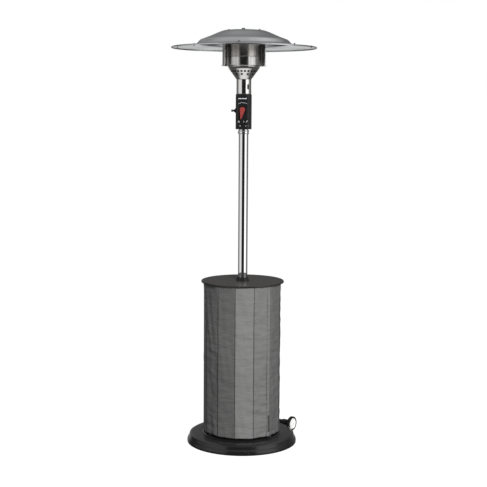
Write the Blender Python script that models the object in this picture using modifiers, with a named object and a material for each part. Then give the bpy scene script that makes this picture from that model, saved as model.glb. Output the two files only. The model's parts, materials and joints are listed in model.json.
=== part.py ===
"""Gas patio heater, built as separate pieces.

Metres, +Z up.  The origin is on the floor at the heater's axis.  The control box and its knob
face -Y.  An angle named "bearing" is measured at the axis from -Y towards +X, in degrees.
"""

from math import asin, cos, pi, radians, sin, tau

import bmesh
import bpy
from mathutils import Matrix, Vector

# ---------------------------------------------------------------- driving dimensions

GAP = 0.0003                   # clearance between pieces that touch
TOTAL_HEIGHT = 2.180

# base
BASE_RADIUS = 0.2895
BASE_EDGE_RADIUS = 0.275       # where the top of the base turns down
BASE_TOP = 0.057
BASE_EDGE_HEIGHT = 0.052
SHEET = 0.002
FOOT_RADIUS = 0.014
FOOT_CIRCLE = 0.225
FOOT_HEIGHT = 0.0137
BALLAST_RADII = (0.150, 0.240)
BALLAST_THICKNESS = 0.014

# bottle chamber
COVER_PANELS = 13
COVER_RADIUS = 0.205           # at the seams between the panels
COVER_BOTTOM = 0.067
COVER_TOP = 0.860
COVER_THICKNESS = 0.002
COVER_SEAM_BEARING = -5.1      # one seam, the others follow at equal steps
HOOP_RADIUS = 0.1925
TOP_HOOP_WIRE = 0.003
BOTTOM_HOOP_WIRE = 0.004
TOP_HOOP_HEIGHT = 0.854
BOTTOM_HOOP_HEIGHT = 0.068
LID_RADIUS = 0.217
LID_TOP = 0.864
LID_LIP = 0.008
LID_SHEET = 0.0012
LID_HOLE = 0.027
COLLAR_RADIUS = 0.035
COLLAR_HEIGHT = 0.016
POST_CIRCLE = 0.178
POST_RADIUS = 0.008
POST_BEARINGS = (60.0, 180.0, 300.0)
PLATE_RADIUS = 0.188
PLATE_BOTTOM = 0.829
PLATE_THICKNESS = 0.003
FLANGE_TOP = 0.856

# pole and gas line
POLE_RADIUS = 0.025
POLE_WALL = 0.0015
POLE_TOP = 1.6767
PIPE_RADIUS = 0.004
PIPE_BOTTOM = 0.820
INJECTOR_TOP = 1.886
NIPPLE_LENGTH = 0.036
CLAMP_SPAN = (1.632, 1.652)
CLAMP_RADIUS = 0.029

# control box
BOX_BOTTOM = 1.657
BOX_TOP = 1.837
BOX_HALF_WIDTH = 0.039
BOX_FRONT = -0.050
BOX_BACK = 0.044
BOX_SEAM = 0.010
BOX_WALL = 0.0022
FRONT_CORNER = 0.022
BACK_CORNER = 0.014
CONTROL_HEIGHT = 1.7585        # the knob's centre line
IGNITER_HEIGHT = 1.753

# gas valve and knob
VALVE_SIZE = (0.036, 0.034, 0.066)
VALVE_CENTRE_Y = -0.007
PLUG_RADIUS = 0.008
PLUG_SPAN = (-0.0237, 0.003)
PLUG_FLOOR = 0.0015             # thickness of the plug behind its bore
SPINDLE_RADIUS = 0.004
SPINDLE_END = -0.010
KNOB_RADIUS = 0.0140
KNOB_BACK = -0.057
KNOB_STEP = -0.0655            # the pointer's back face, clear of the bezel when pushed
KNOB_FRONT = -0.078
KNOB_POINTER = 0.0515          # from the knob's centre to its tip
KNOB_TIP_RADIUS = 0.003
KNOB_TILT = 9.5                # the pointer's lean to the left of straight down
BEZEL_RADII = (0.0158, 0.0185)
BEZEL_FRONT = -0.0595

# igniter
IGNITER_Y = -0.008
BOOT_RADII = (0.016, 0.007)
BOOT_LENGTH = 0.0115
BUTTON_RADIUS = 0.0045
BUTTON_SPAN = (-0.064, -0.034)
PIEZO_SPAN = (-0.0362, -0.0192)
PIEZO_RADIUS = 0.009

# burner
TUBE_RADIUS = 0.0385
TUBE_TOP = 1.914
SLOT_BEARING = 40.0
SLOT_SIZE = (0.010, 0.028)
SLOT_HEIGHT = 1.876
FUNNEL_PROFILE = ((0.083, 1.982), (0.079, 1.969), (0.063, 1.948), (0.050, 1.929), (0.039, 1.9143))
FUNNEL_HOLES = ((24, 15.0, 1.9575, 0.0042), (12, 30.0, 1.9420, 0.0038))
FUNNEL_HOLE_BEARING = -5.0
EMITTER_RADIUS = 0.088
EMITTER_SEAM = 2.029
EMITTER_TOP = 2.118
SHIELD_RADIUS = 0.112
SHIELD_LIP_RADIUS = 0.1165
SHIELD_SPAN = (1.984, 2.130)
SHIELD_RING = 0.018            # height of the closed ring at the top
SHIELD_OPENING = (-56.0, 83.0)
BRACKET_BEARINGS = (45.0, 165.0, 285.0)

# reflector: (radius, height above the rim), from the middle outwards
REFLECTOR_RIM = 2.079
REFLECTOR_PROFILE = (
    (0.012, 0.0885), (0.085, 0.0882), (0.105, 0.0862), (0.129, 0.0782), (0.181, 0.0555),
    (0.2265, 0.0385), (0.2335, 0.0320), (0.2455, 0.0185), (0.262, 0.0135), (0.316, 0.0070),
    (0.3755, 0.0015), (0.377, 0.0), (0.377, -0.005),
)
REFLECTOR_SHEET = 0.0012
BOLT_CIRCLE = 0.080
BOLT_RADIUS = 0.003
NUT_RADIUS = 0.006

# wheels
WHEEL_RADIUS = 0.0385
WHEEL_WIDTH = 0.020
HUB_RADIUS = 0.0307
WHEEL_BEARING = 151.0          # the axle lies across this bearing
AXLE_DISTANCE = 0.298
AXLE_HEIGHT = 0.0459
AXLE_RADIUS = 0.004
HALF_TRACK = 0.128
BRACKET_HALF_WIDTH = 0.070
BRACKET_THICKNESS = 0.003
SLEEVE_RADIUS = 0.013
SLEEVE_HALF_LENGTH = 0.111
AXLE_HALF_LENGTH = 0.141

STEPS = 40                     # facets round a large turned piece
SMALL_STEPS = 16

# ---------------------------------------------------------------- scene and materials

for old in list(bpy.data.objects):
    bpy.data.objects.remove(old, do_unlink=True)

parts = bpy.data.collections.new("patio_heater")
tools = bpy.data.collections.new("cutters")
for collection in (parts, tools):
    bpy.context.scene.collection.children.link(collection)


def finish_of(name, colour, roughness, metallic=0.0):
    """A plain material from one colour, roughness and metallic value."""
    material = bpy.data.materials.new(name)
    material.use_nodes = True
    shader = material.node_tree.nodes["Principled BSDF"]
    shader.inputs["Base Color"].default_value = (*colour, 1.0)
    shader.inputs["Roughness"].default_value = roughness
    shader.inputs["Metallic"].default_value = metallic
    return material


BLACK_PAINT = finish_of("black_paint", (0.012, 0.012, 0.013), 0.35)
LID_PAINT = finish_of("lid_paint", (0.050, 0.050, 0.052), 0.40)
IRON = finish_of("cast_iron", (0.080, 0.080, 0.085), 0.70, 0.6)
RUBBER = finish_of("rubber", (0.020, 0.020, 0.020), 0.85)
ZINC = finish_of("zinc_steel", (0.550, 0.560, 0.580), 0.35, 1.0)
CHROME = finish_of("chrome", (0.780, 0.780, 0.790), 0.06, 1.0)
STEEL = finish_of("brushed_steel", (0.600, 0.600, 0.610), 0.28, 1.0)
ALUMINIUM = finish_of("aluminium", (0.640, 0.640, 0.650), 0.35, 1.0)
CLOTH = finish_of("grey_cloth", (0.150, 0.150, 0.150), 0.90)
BLACK_PLASTIC = finish_of("black_plastic", (0.015, 0.015, 0.016), 0.40)
RED_PLASTIC = finish_of("red_plastic", (0.620, 0.030, 0.020), 0.30)
PALE_PLASTIC = finish_of("pale_plastic", (0.720, 0.720, 0.720), 0.45)
BRASS = finish_of("brass", (0.700, 0.500, 0.200), 0.35, 1.0)


# ---------------------------------------------------------------- modelling helpers

def place(bearing, radius, height=0.0):
    """The point at a bearing and a distance from the heater's axis."""
    angle = radians(bearing)
    return Vector((radius * sin(angle), -radius * cos(angle), height))


def add(name, mesh, material, smooth_angle=35.0):
    """Link a mesh as one piece of the heater, shaded smooth up to smooth_angle."""
    piece = bpy.data.objects.new(name, mesh)
    parts.objects.link(piece)
    mesh.materials.append(material)
    mesh.shade_smooth()
    mesh.set_sharp_from_angle(angle=radians(smooth_angle))
    return piece


def aim(piece, direction, location=(0.0, 0.0, 0.0)):
    """Turn the piece's own Z axis to a direction and move its origin to a location."""
    piece.rotation_euler = Vector(direction).to_track_quat("Z", "Y").to_euler()
    piece.location = location
    return piece


def turned(name, profile, material, steps=STEPS, closed=True, sweep=tau):
    """Turn a profile of (radius, height) points, given from top to bottom of the outer side."""
    mesh = bpy.data.meshes.new(name)
    points = [(radius, 0.0, height) for radius, height in profile]
    edges = [(i, i + 1) for i in range(len(points) - 1)]
    if closed:
        edges.append((len(points) - 1, 0))
    mesh.from_pydata(points, edges, [])
    piece = add(name, mesh, material)
    screw = piece.modifiers.new("turn", "SCREW")
    screw.angle = sweep
    screw.steps = steps
    screw.render_steps = steps
    screw.use_smooth_shade = True
    screw.use_merge_vertices = True
    screw.merge_threshold = 0.00001
    return piece


def tube(name, outer, wall, bottom, top, material, steps=STEPS):
    """A round tube with flat ends."""
    inner = outer - wall
    profile = [(outer, top), (outer, bottom), (inner, bottom), (inner, top)]
    return turned(name, profile, material, steps)


def rod(name, start, end, radius, material, sides=SMALL_STEPS, end_radius=None):
    """A straight round rod, or a cone when end_radius is given."""
    start, end = Vector(start), Vector(end)
    shape = bmesh.new()
    bmesh.ops.create_cone(
        shape, cap_ends=True, segments=sides, radius1=radius,
        radius2=radius if end_radius is None else end_radius, depth=(end - start).length,
    )
    mesh = bpy.data.meshes.new(name)
    shape.to_mesh(mesh)
    shape.free()
    return aim(add(name, mesh, material), end - start, (start + end) / 2)


def block(name, low, high, material, bevel=0.0, turn=0.0):
    """A box between two corners, with a bevel if asked, turned about the heater's axis."""
    low, high = Vector(low), Vector(high)
    shape = bmesh.new()
    bmesh.ops.create_cube(shape, size=1.0)
    bmesh.ops.scale(shape, vec=high - low, verts=shape.verts)
    bmesh.ops.translate(shape, vec=(low + high) / 2, verts=shape.verts)
    mesh = bpy.data.meshes.new(name)
    shape.to_mesh(mesh)
    shape.free()
    piece = add(name, mesh, material)
    piece.rotation_euler.z = radians(turn)
    if bevel:
        soften(piece, bevel)
    return piece


def slab(name, outline, bottom, top, material):
    """A flat outline in X and Y, extruded from bottom to top along Z."""
    curve = bpy.data.curves.new(name + "_outline", "CURVE")
    curve.dimensions = "2D"
    curve.fill_mode = "BOTH"
    curve.extrude = (top - bottom) / 2
    spline = curve.splines.new("POLY")
    spline.points.add(len(outline) - 1)
    for point, (x, y) in zip(spline.points, outline):
        point.co = (x, y, 0.0, 1.0)
    spline.use_cyclic_u = True
    guide = bpy.data.objects.new(name + "_outline", curve)
    tools.objects.link(guide)
    ready = guide.evaluated_get(bpy.context.evaluated_depsgraph_get())
    mesh = bpy.data.meshes.new_from_object(ready)
    bpy.data.objects.remove(guide)
    shape = bmesh.new()
    shape.from_mesh(mesh)
    bmesh.ops.remove_doubles(shape, verts=shape.verts, dist=0.00001)
    bmesh.ops.recalc_face_normals(shape, faces=shape.faces)
    shape.to_mesh(mesh)
    shape.free()
    mesh.materials.clear()
    piece = add(name, mesh, material)
    piece.location.z = (bottom + top) / 2
    return piece


def soften(piece, width, segments=2):
    """Round the piece's sharp edges."""
    bevel = piece.modifiers.new("soften", "BEVEL")
    bevel.width = width
    bevel.segments = segments
    bevel.limit_method = "ANGLE"
    bevel.angle_limit = radians(50)


def combine(piece, tool, operation="DIFFERENCE"):
    """Cut the tool out of the piece, or join it on, and set the tool aside as a hidden guide."""
    change = piece.modifiers.new(tool.name, "BOOLEAN")
    change.operation = operation
    change.solver = "EXACT"
    change.object = tool
    tool.hide_render = True
    tool.display_type = "WIRE"
    if tool.name in parts.objects:
        parts.objects.unlink(tool)
        tools.objects.link(tool)


def thicken(piece, thickness, offset=-1.0):
    """Give an open surface a wall, inwards by default."""
    wall = piece.modifiers.new("wall", "SOLIDIFY")
    wall.thickness = thickness
    wall.offset = offset


def hung_on(name, location, pieces):
    """Parent pieces to an empty on their joint's axis and keep them where they are."""
    pivot = bpy.data.objects.new(name, None)
    pivot.location = location
    parts.objects.link(pivot)
    bpy.context.view_layer.update()
    for piece in pieces:
        piece.parent = pivot
        piece.matrix_parent_inverse = pivot.matrix_world.inverted()
    return pivot


# ---------------------------------------------------------------- base

def make_base():
    """Pressed shell, ballast ring hung inside it and the feet under the ballast."""
    skin = [
        (0.0, BASE_TOP), (0.216, BASE_TOP), (0.268, BASE_EDGE_HEIGHT + 0.0025),
        (BASE_EDGE_RADIUS, BASE_EDGE_HEIGHT), (0.2825, 0.039), (0.2875, 0.022),
        (BASE_RADIUS, 0.008), (BASE_RADIUS, 0.003),
    ]
    inside = [(max(radius - SHEET, 0.0), max(height - SHEET, 0.003)) for radius, height in skin]
    turned("base_shell", skin + inside[::-1], BLACK_PAINT, closed=False)
    inner, outer = BALLAST_RADII
    top = FOOT_HEIGHT + GAP + BALLAST_THICKNESS
    tube("base_ballast", outer, outer - inner, FOOT_HEIGHT + GAP, top, IRON, 32)
    for number in range(4):
        spot = place(45 + 90 * number, FOOT_CIRCLE)
        top_of_foot = spot + Vector((0, 0, FOOT_HEIGHT))
        rod(f"base_foot_{number + 1}", spot, top_of_foot, FOOT_RADIUS, RUBBER)


def make_bottle_frame():
    """Three posts from the base carry a plate with the flange that the pole stands in."""
    for number, bearing in enumerate(POST_BEARINGS, 1):
        low = place(bearing, POST_CIRCLE, BASE_TOP + GAP)
        high = place(bearing, POST_CIRCLE, PLATE_BOTTOM - GAP)
        rod(f"support_post_{number}", low, high, POST_RADIUS, ZINC, 12)
    plate_top = PLATE_BOTTOM + PLATE_THICKNESS
    tube("post_plate", PLATE_RADIUS, PLATE_RADIUS - 0.012, PLATE_BOTTOM, plate_top, ZINC, 32)
    seat = plate_top + GAP
    flange = [
        (0.031, FLANGE_TOP), (0.031, seat + 0.003), (0.060, seat + 0.003), (0.060, seat),
        (0.012, seat), (0.012, seat + 0.003), (POLE_RADIUS + GAP, seat + 0.003),
        (POLE_RADIUS + GAP, FLANGE_TOP),
    ]
    turned("pole_flange", flange, ZINC, 32)
    return seat + 0.003 + GAP


# ---------------------------------------------------------------- cover that lifts up the pole

def make_cover():
    """Lid, collar, panelled cloth wall and its two hoops."""
    lip = LID_TOP - LID_LIP
    lid = [
        (LID_HOLE, LID_TOP), (LID_RADIUS - 0.002, LID_TOP), (LID_RADIUS, LID_TOP - 0.002),
        (LID_RADIUS, lip), (LID_RADIUS - 0.0015, lip),
        (LID_RADIUS - 0.0015, LID_TOP - LID_SHEET - 0.001),
        (LID_RADIUS - 0.0025, LID_TOP - LID_SHEET), (LID_HOLE, LID_TOP - LID_SHEET),
    ]
    pieces = [turned("lid", lid, LID_PAINT)]
    seat = LID_TOP + GAP
    collar = [
        (COLLAR_RADIUS - 0.003, seat + COLLAR_HEIGHT), (COLLAR_RADIUS, seat + COLLAR_HEIGHT - 0.003),
        (COLLAR_RADIUS, seat), (LID_HOLE, seat), (LID_HOLE, seat + COLLAR_HEIGHT),
    ]
    pieces.append(turned("lid_collar", collar, BLACK_PLASTIC, 24))
    pieces.append(cloth_wall())
    pieces.append(hoop("cover_hoop_top", HOOP_RADIUS, TOP_HOOP_WIRE, TOP_HOOP_HEIGHT))
    pieces.append(hoop("cover_hoop_bottom", HOOP_RADIUS, BOTTOM_HOOP_WIRE, BOTTOM_HOOP_HEIGHT))
    hung_on("cover_lift_axis", (0.0, 0.0, 0.0), pieces)


def cloth_wall():
    """The cloth's flat panels, one for each side of a regular prism."""
    mesh = bpy.data.meshes.new("fabric_cover")
    shape = bmesh.new()
    bmesh.ops.create_cone(
        shape, cap_ends=False, segments=COVER_PANELS, radius1=COVER_RADIUS,
        radius2=COVER_RADIUS, depth=COVER_TOP - COVER_BOTTOM,
    )
    first = shape.verts[:][0].co
    start = Vector((first.x, first.y))
    seam = place(COVER_SEAM_BEARING, 1.0)
    turn = Matrix.Rotation(start.angle_signed(Vector((seam.x, seam.y))), 4, "Z")
    bmesh.ops.transform(shape, matrix=turn.inverted(), verts=shape.verts)
    shape.to_mesh(mesh)
    shape.free()
    wall = add("fabric_cover", mesh, CLOTH, 15.0)
    wall.location.z = (COVER_TOP + COVER_BOTTOM) / 2
    thicken(wall, COVER_THICKNESS)
    return wall


def hoop(name, radius, wire, height):
    """A round wire bent into a ring."""
    profile = [
        (radius + wire * sin(tau * i / 6), height + wire * cos(tau * i / 6)) for i in range(6)
    ]
    return turned(name, profile, BLACK_PAINT, 24)


# ---------------------------------------------------------------- pole and gas line

def make_pole(foot):
    """The pole, its clamp under the control box, and the gas pipe inside it."""
    tube("pole", POLE_RADIUS, POLE_WALL, foot, POLE_TOP, CHROME, 32)
    low, high = CLAMP_SPAN
    inner = POLE_RADIUS + GAP
    clamp = [
        (CLAMP_RADIUS - 0.001, high), (CLAMP_RADIUS, high - 0.001), (CLAMP_RADIUS, low + 0.001),
        (CLAMP_RADIUS - 0.001, low), (inner, low), (inner, high),
    ]
    turned("pole_clamp", clamp, CHROME, 32)
    valve_bottom = CONTROL_HEIGHT - VALVE_SIZE[2] / 2
    rod("gas_pipe", (0, 0, PIPE_BOTTOM), (0, 0, valve_bottom - GAP), PIPE_RADIUS, BRASS, 12)
    top = PIPE_BOTTOM - GAP
    end = top - NIPPLE_LENGTH
    nipple = [
        (0.0, top), (0.0085, top), (0.0085, top - 0.010), (0.0045, top - 0.010),
        (0.0045, end + 0.018), (0.0058, end + 0.016), (0.0045, end + 0.009),
        (0.0058, end + 0.007), (0.0042, end), (0.0, end),
    ]
    turned("hose_nipple", nipple, BRASS, SMALL_STEPS, closed=False)


# ---------------------------------------------------------------- control box

def box_outline(half_width, tip, corner, seam):
    """Half of the box's outline: straight sides from the seam and round corners at the tip."""
    way = 1 if tip > seam else -1
    centre_x, centre_y = half_width - corner, tip - way * corner
    right = []
    for i in range(6):
        angle = pi / 2 * i / 5
        right.append((centre_x + corner * cos(angle), centre_y + way * corner * sin(angle)))
    left = [(-x, y) for x, y in right[::-1]]
    return [(half_width, seam)] + right + left + [(-half_width, seam)]


def half_box(name, tip, corner, seam):
    """One shell of the control box, open towards the other shell."""
    outline = box_outline(BOX_HALF_WIDTH, tip, corner, seam)
    shell = slab(name, outline, BOX_BOTTOM, BOX_TOP, BLACK_PLASTIC)
    way = 1 if tip > seam else -1
    inner = box_outline(
        BOX_HALF_WIDTH - BOX_WALL, tip - way * BOX_WALL, corner - BOX_WALL, seam - way * 0.005
    )
    hollow = slab(name + "_hollow", inner, BOX_BOTTOM + BOX_WALL, BOX_TOP - BOX_WALL, BLACK_PLASTIC)
    combine(shell, hollow)
    for end, height, radius in (("pole", BOX_BOTTOM, POLE_RADIUS + GAP), ("pipe", BOX_TOP, 0.014)):
        low, high = (0, 0, height - 0.006), (0, 0, height + 0.006)
        combine(shell, rod(f"{name}_{end}_hole", low, high, radius, BLACK_PLASTIC, 32))
    return shell


def make_control_box():
    """Both shells, the knob's bezel, the tilt switch and the boot round the igniter button."""
    front = half_box("control_housing_front", BOX_FRONT, FRONT_CORNER, BOX_SEAM)
    half_box("control_housing_back", BOX_BACK, BACK_CORNER, BOX_SEAM + GAP)
    z = CONTROL_HEIGHT
    spindle_hole = rod("spindle_hole", (0, -0.056, z), (0, -0.044, z), 0.0065, BLACK_PLASTIC)
    combine(front, spindle_hole)
    side = -BOX_HALF_WIDTH
    button_hole = rod(
        "button_hole", (side - 0.006, IGNITER_Y, IGNITER_HEIGHT), (side + 0.006, IGNITER_Y, IGNITER_HEIGHT),
        0.006, BLACK_PLASTIC,
    )
    combine(front, button_hole)
    inner, outer = BEZEL_RADII
    bezel = tube("knob_bezel", outer, outer - inner, -BOX_FRONT + GAP, -BEZEL_FRONT, BLACK_PLASTIC, 24)
    aim(bezel, (0, -1, 0), (0, 0, z))
    start = BOX_HALF_WIDTH + GAP
    wide, narrow = BOOT_RADII
    bore = BUTTON_RADIUS + GAP
    boot = turned(
        "igniter_boot",
        [(narrow, start + BOOT_LENGTH), (narrow + 0.002, start + 0.006), (wide - 0.003, start + 0.002),
         (wide, start), (bore, start), (bore, start + BOOT_LENGTH)],
        BLACK_PLASTIC, 20,
    )
    aim(boot, (-1, 0, 0), (0, IGNITER_Y, IGNITER_HEIGHT))
    rod("tilt_switch", (0.020, 0.024, 1.690), (0.020, 0.024, 1.710), 0.009, BLACK_PLASTIC, 12)


def make_gas_valve():
    """Valve block with a bore for the plug that the knob turns, and the pipe to the burner."""
    half = Vector(VALVE_SIZE) / 2
    centre = Vector((0, VALVE_CENTRE_Y, CONTROL_HEIGHT))
    body = block("gas_valve", centre - half, centre + half, BRASS, 0.0015)
    front, back = PLUG_SPAN
    z = CONTROL_HEIGHT
    bore = rod("plug_bore", (0, front - 0.004, z), (0, back + GAP, z), PLUG_RADIUS + GAP, BRASS)
    combine(body, bore)
    bore_radius = SPINDLE_RADIUS + GAP
    floor = PLUG_FLOOR - back
    plug = turned(
        "valve_plug",
        [(0.0, floor), (bore_radius, floor), (bore_radius, -front), (PLUG_RADIUS, -front),
         (PLUG_RADIUS, -back), (0.0, -back)],
        BRASS, SMALL_STEPS, closed=False,
    )
    aim(plug, (0, -1, 0), (0, 0, z))
    rod("injector_pipe", (0, 0, z + VALVE_SIZE[2] / 2 + GAP), (0, 0, INJECTOR_TOP), PIPE_RADIUS, BRASS, 12)
    return plug


def drop_outline(radius, tip_radius, reach, lean):
    """A drop: a circle drawn out to a small round tip, leaning left of straight down."""
    distance = reach - tip_radius
    heading = radians(-90 - lean)
    touch = pi / 2 - asin((radius - tip_radius) / distance)
    tip = Vector((cos(heading), sin(heading))) * distance
    outline = []
    for i in range(17):
        angle = heading + touch + (tau - 2 * touch) * i / 16
        outline.append((radius * cos(angle), radius * sin(angle)))
    for i in range(5):
        angle = heading - touch + 2 * touch * i / 4
        outline.append((tip.x + tip_radius * cos(angle), tip.y + tip_radius * sin(angle)))
    return outline


def make_knob():
    """Dial and spindle turned about the knob's axis, with the drop-shaped grip joined on."""
    merge = -KNOB_STEP + 0.002
    knob = turned(
        "knob",
        [(0.0, merge), (KNOB_RADIUS, merge), (KNOB_RADIUS, -KNOB_BACK), (SPINDLE_RADIUS, -KNOB_BACK),
         (SPINDLE_RADIUS, -SPINDLE_END), (0.0, -SPINDLE_END)],
        RED_PLASTIC, SMALL_STEPS, closed=False,
    )
    aim(knob, (0, -1, 0), (0, 0, CONTROL_HEIGHT))
    outline = drop_outline(KNOB_RADIUS - 0.0006, KNOB_TIP_RADIUS, KNOB_POINTER, KNOB_TILT)
    grip = slab("knob_grip", outline, -KNOB_STEP, -KNOB_FRONT, RED_PLASTIC)
    grip.rotation_euler.x = pi / 2
    grip.location = (0, (KNOB_STEP + KNOB_FRONT) / 2, CONTROL_HEIGHT)
    combine(knob, grip, "UNION")
    return knob


def make_igniter():
    """Piezo body with a bore for the stem of the push button."""
    z = IGNITER_HEIGHT
    left, right = PIEZO_SPAN
    piezo = rod("piezo_igniter", (left, IGNITER_Y, z), (right, IGNITER_Y, z), PIEZO_RADIUS, BLACK_PLASTIC)
    bore = rod(
        "stem_bore", (left - 0.005, IGNITER_Y, z), (left + 0.012, IGNITER_Y, z),
        BUTTON_RADIUS + GAP, BLACK_PLASTIC,
    )
    combine(piezo, bore)
    outer, inner = BUTTON_SPAN
    button = rod("igniter_button", (outer, IGNITER_Y, z), (inner, IGNITER_Y, z), BUTTON_RADIUS, BLACK_PLASTIC)
    return button


# ---------------------------------------------------------------- burner and wind shield

def make_burner():
    """Tube, perforated funnel, burner head and the two bands of the emitter."""
    bottom = BOX_TOP + GAP
    inner = TUBE_RADIUS - 0.0015
    foot = [
        (TUBE_RADIUS, TUBE_TOP), (TUBE_RADIUS, bottom), (0.020, bottom), (0.020, bottom + 0.0015),
        (inner, bottom + 0.0015), (inner, TUBE_TOP),
    ]
    body = turned("burner_tube", foot, STEEL, 32)
    width, height = SLOT_SIZE
    slot = block(
        "slot", (-width / 2, -0.046, SLOT_HEIGHT - height / 2),
        (width / 2, -0.030, SLOT_HEIGHT + height / 2), STEEL, turn=SLOT_BEARING,
    )
    combine(body, slot)
    inside = [(radius - 0.0015, height) for radius, height in FUNNEL_PROFILE[::-1]]
    funnel = turned("burner_funnel", list(FUNNEL_PROFILE) + inside, STEEL, 24)
    combine(funnel, funnel_holes())
    head = [(0.0, 2.016), (0.040, 2.010), (0.062, 1.998), (0.062, 1.990), (0.014, 1.990),
            (0.014, 1.900), (0.0, 1.900)]
    turned("burner_head", head, STEEL, 24, closed=False)
    for name, bearing in (("thermocouple", 90.0), ("spark_electrode", 130.0)):
        rod(name, place(bearing, 0.080, 1.9838 + GAP), place(bearing, 0.080, 2.040), 0.002, ZINC, 8)
    ring_bottom = FUNNEL_PROFILE[0][1] + GAP
    ring = [
        (EMITTER_RADIUS, EMITTER_SEAM), (EMITTER_RADIUS, ring_bottom), (0.074, ring_bottom),
        (0.074, ring_bottom + 0.0015), (EMITTER_RADIUS - 0.0015, ring_bottom + 0.0015),
        (EMITTER_RADIUS - 0.0015, EMITTER_SEAM),
    ]
    turned("emitter_ring", ring, STEEL, 36)
    tube("emitter_mesh", EMITTER_RADIUS - 0.0005, 0.0012, EMITTER_SEAM + GAP, EMITTER_TOP, STEEL, 36)
    cap_base = EMITTER_TOP + GAP
    rod("emitter_cap", (0, 0, cap_base), (0, 0, cap_base + 0.003), EMITTER_RADIUS, STEEL, 36)
    return cap_base + 0.003 + GAP


def funnel_holes():
    """One cutter with all the round holes of the funnel's two rows."""
    shape = bmesh.new()
    for count, step, height, radius in FUNNEL_HOLES:
        for number in range(count):
            bearing = FUNNEL_HOLE_BEARING + step * number
            out = place(bearing, 1.0).to_track_quat("Z", "Y").to_matrix().to_4x4()
            spot = Matrix.Translation(place(bearing, 0.062, height))
            bmesh.ops.create_cone(
                shape, cap_ends=True, segments=6, radius1=radius, radius2=radius, depth=0.036,
                matrix=spot @ out,
            )
    mesh = bpy.data.meshes.new("funnel_holes")
    shape.to_mesh(mesh)
    shape.free()
    return add("funnel_holes", mesh, STEEL)


def make_wind_shield(seat):
    """Shell with a wide opening to the front, held by flat bars on the emitter's cap."""
    bottom, top = SHIELD_SPAN
    inner = SHIELD_RADIUS - 0.001
    profile = [
        (SHIELD_RADIUS, top), (SHIELD_RADIUS, bottom + 0.005), (SHIELD_LIP_RADIUS, bottom + 0.001),
        (SHIELD_LIP_RADIUS, bottom), (inner, bottom + 0.004), (inner, top),
    ]
    shell = turned("wind_shield", profile, STEEL)
    start, end = SHIELD_OPENING
    edge = [place(start + (end - start) * i / 8, 0.140) for i in range(9)]
    outline = [(0.0, 0.0)] + [(point.x, point.y) for point in edge]
    combine(shell, slab("front_opening", outline, bottom - 0.004, top - SHIELD_RING, STEEL))
    for number, bearing in enumerate(BRACKET_BEARINGS, 1):
        low, high = (-0.007, -(inner - 0.0008), seat), (0.007, -0.060, seat + 0.002)
        block(f"shield_bracket_{number}", low, high, STEEL, turn=bearing)


# ---------------------------------------------------------------- reflector

def make_reflector(seat):
    """Four segments meeting in radial seams, their hub plate, bolts and the centre nut."""
    profile = [(radius, REFLECTOR_RIM + height) for radius, height in REFLECTOR_PROFILE]
    flat = REFLECTOR_RIM + REFLECTOR_PROFILE[0][1]
    shift = GAP / 2
    bolt_holes = []
    for number in range(4):
        spot = place(90 * number, BOLT_CIRCLE)
        low, high = spot + Vector((0, 0, flat - 0.010)), spot + Vector((0, 0, flat + 0.010))
        bolt_holes.append(rod(f"bolt_hole_{number + 1}", low, high, BOLT_RADIUS + GAP, ALUMINIUM, 12))
    for number in range(4):
        name = f"reflector_segment_{number + 1}"
        segment = turned(name, profile, ALUMINIUM, 10, closed=False, sweep=pi / 2)
        thicken(segment, REFLECTOR_SHEET)
        segment.rotation_euler.z = pi / 2 * number
        segment.location = Matrix.Rotation(pi / 2 * number, 3, "Z") @ Vector((shift, shift, 0))
        combine(segment, bolt_holes[(number + 1) % 4])
        combine(segment, bolt_holes[(number + 2) % 4])
    under = flat - REFLECTOR_SHEET - GAP
    rod("reflector_hub", (0, 0, under - 0.002), (0, 0, under), 0.030, ALUMINIUM, 24)
    for number in range(4):
        bolt(f"reflector_bolt_{number + 1}", place(90 * number, BOLT_CIRCLE), seat, flat + GAP)
    rod("centre_nut", (0, 0, flat + GAP), (0, 0, TOTAL_HEIGHT), NUT_RADIUS, BLACK_PAINT, 6)


def bolt(name, spot, low, face):
    """A round shank up to a face and a six-sided head above it."""
    shank = rod(name, spot + Vector((0, 0, low)), spot + Vector((0, 0, face + 0.003)), BOLT_RADIUS, ZINC, 8)
    head_low, head_high = spot + Vector((0, 0, face)), spot + Vector((0, 0, face + 0.005))
    combine(shank, rod(name + "_head", head_low, head_high, NUT_RADIUS, ZINC, 6), "UNION")


# ---------------------------------------------------------------- wheels

def make_wheels():
    """Bracket on the back of the base with a sleeve for the axle, and two wheels off the floor."""
    low = BASE_TOP + GAP
    high = low + BRACKET_THICKNESS
    bracket = block(
        "wheel_bracket", (-BRACKET_HALF_WIDTH, -0.300, low), (BRACKET_HALF_WIDTH, -0.208, high),
        BLACK_PAINT, turn=WHEEL_BEARING,
    )
    middle = place(WHEEL_BEARING, AXLE_DISTANCE, AXLE_HEIGHT)
    across = place(WHEEL_BEARING - 90, 1.0)
    reach = across * SLEEVE_HALF_LENGTH
    sleeve = rod("axle_sleeve", middle - reach, middle + reach, SLEEVE_RADIUS, BLACK_PAINT, 20)
    combine(bracket, sleeve, "UNION")
    bore_end = across * AXLE_HALF_LENGTH
    bore = rod("axle_bore", middle - bore_end, middle + bore_end, AXLE_RADIUS + GAP, BLACK_PAINT, 12)
    combine(bracket, bore)
    rod("wheel_axle", middle - bore_end, middle + bore_end, AXLE_RADIUS, ZINC, 12)
    for number, side in ((1, 1), (2, -1)):
        wheel(number, middle + across * HALF_TRACK * side, across * side)


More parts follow.
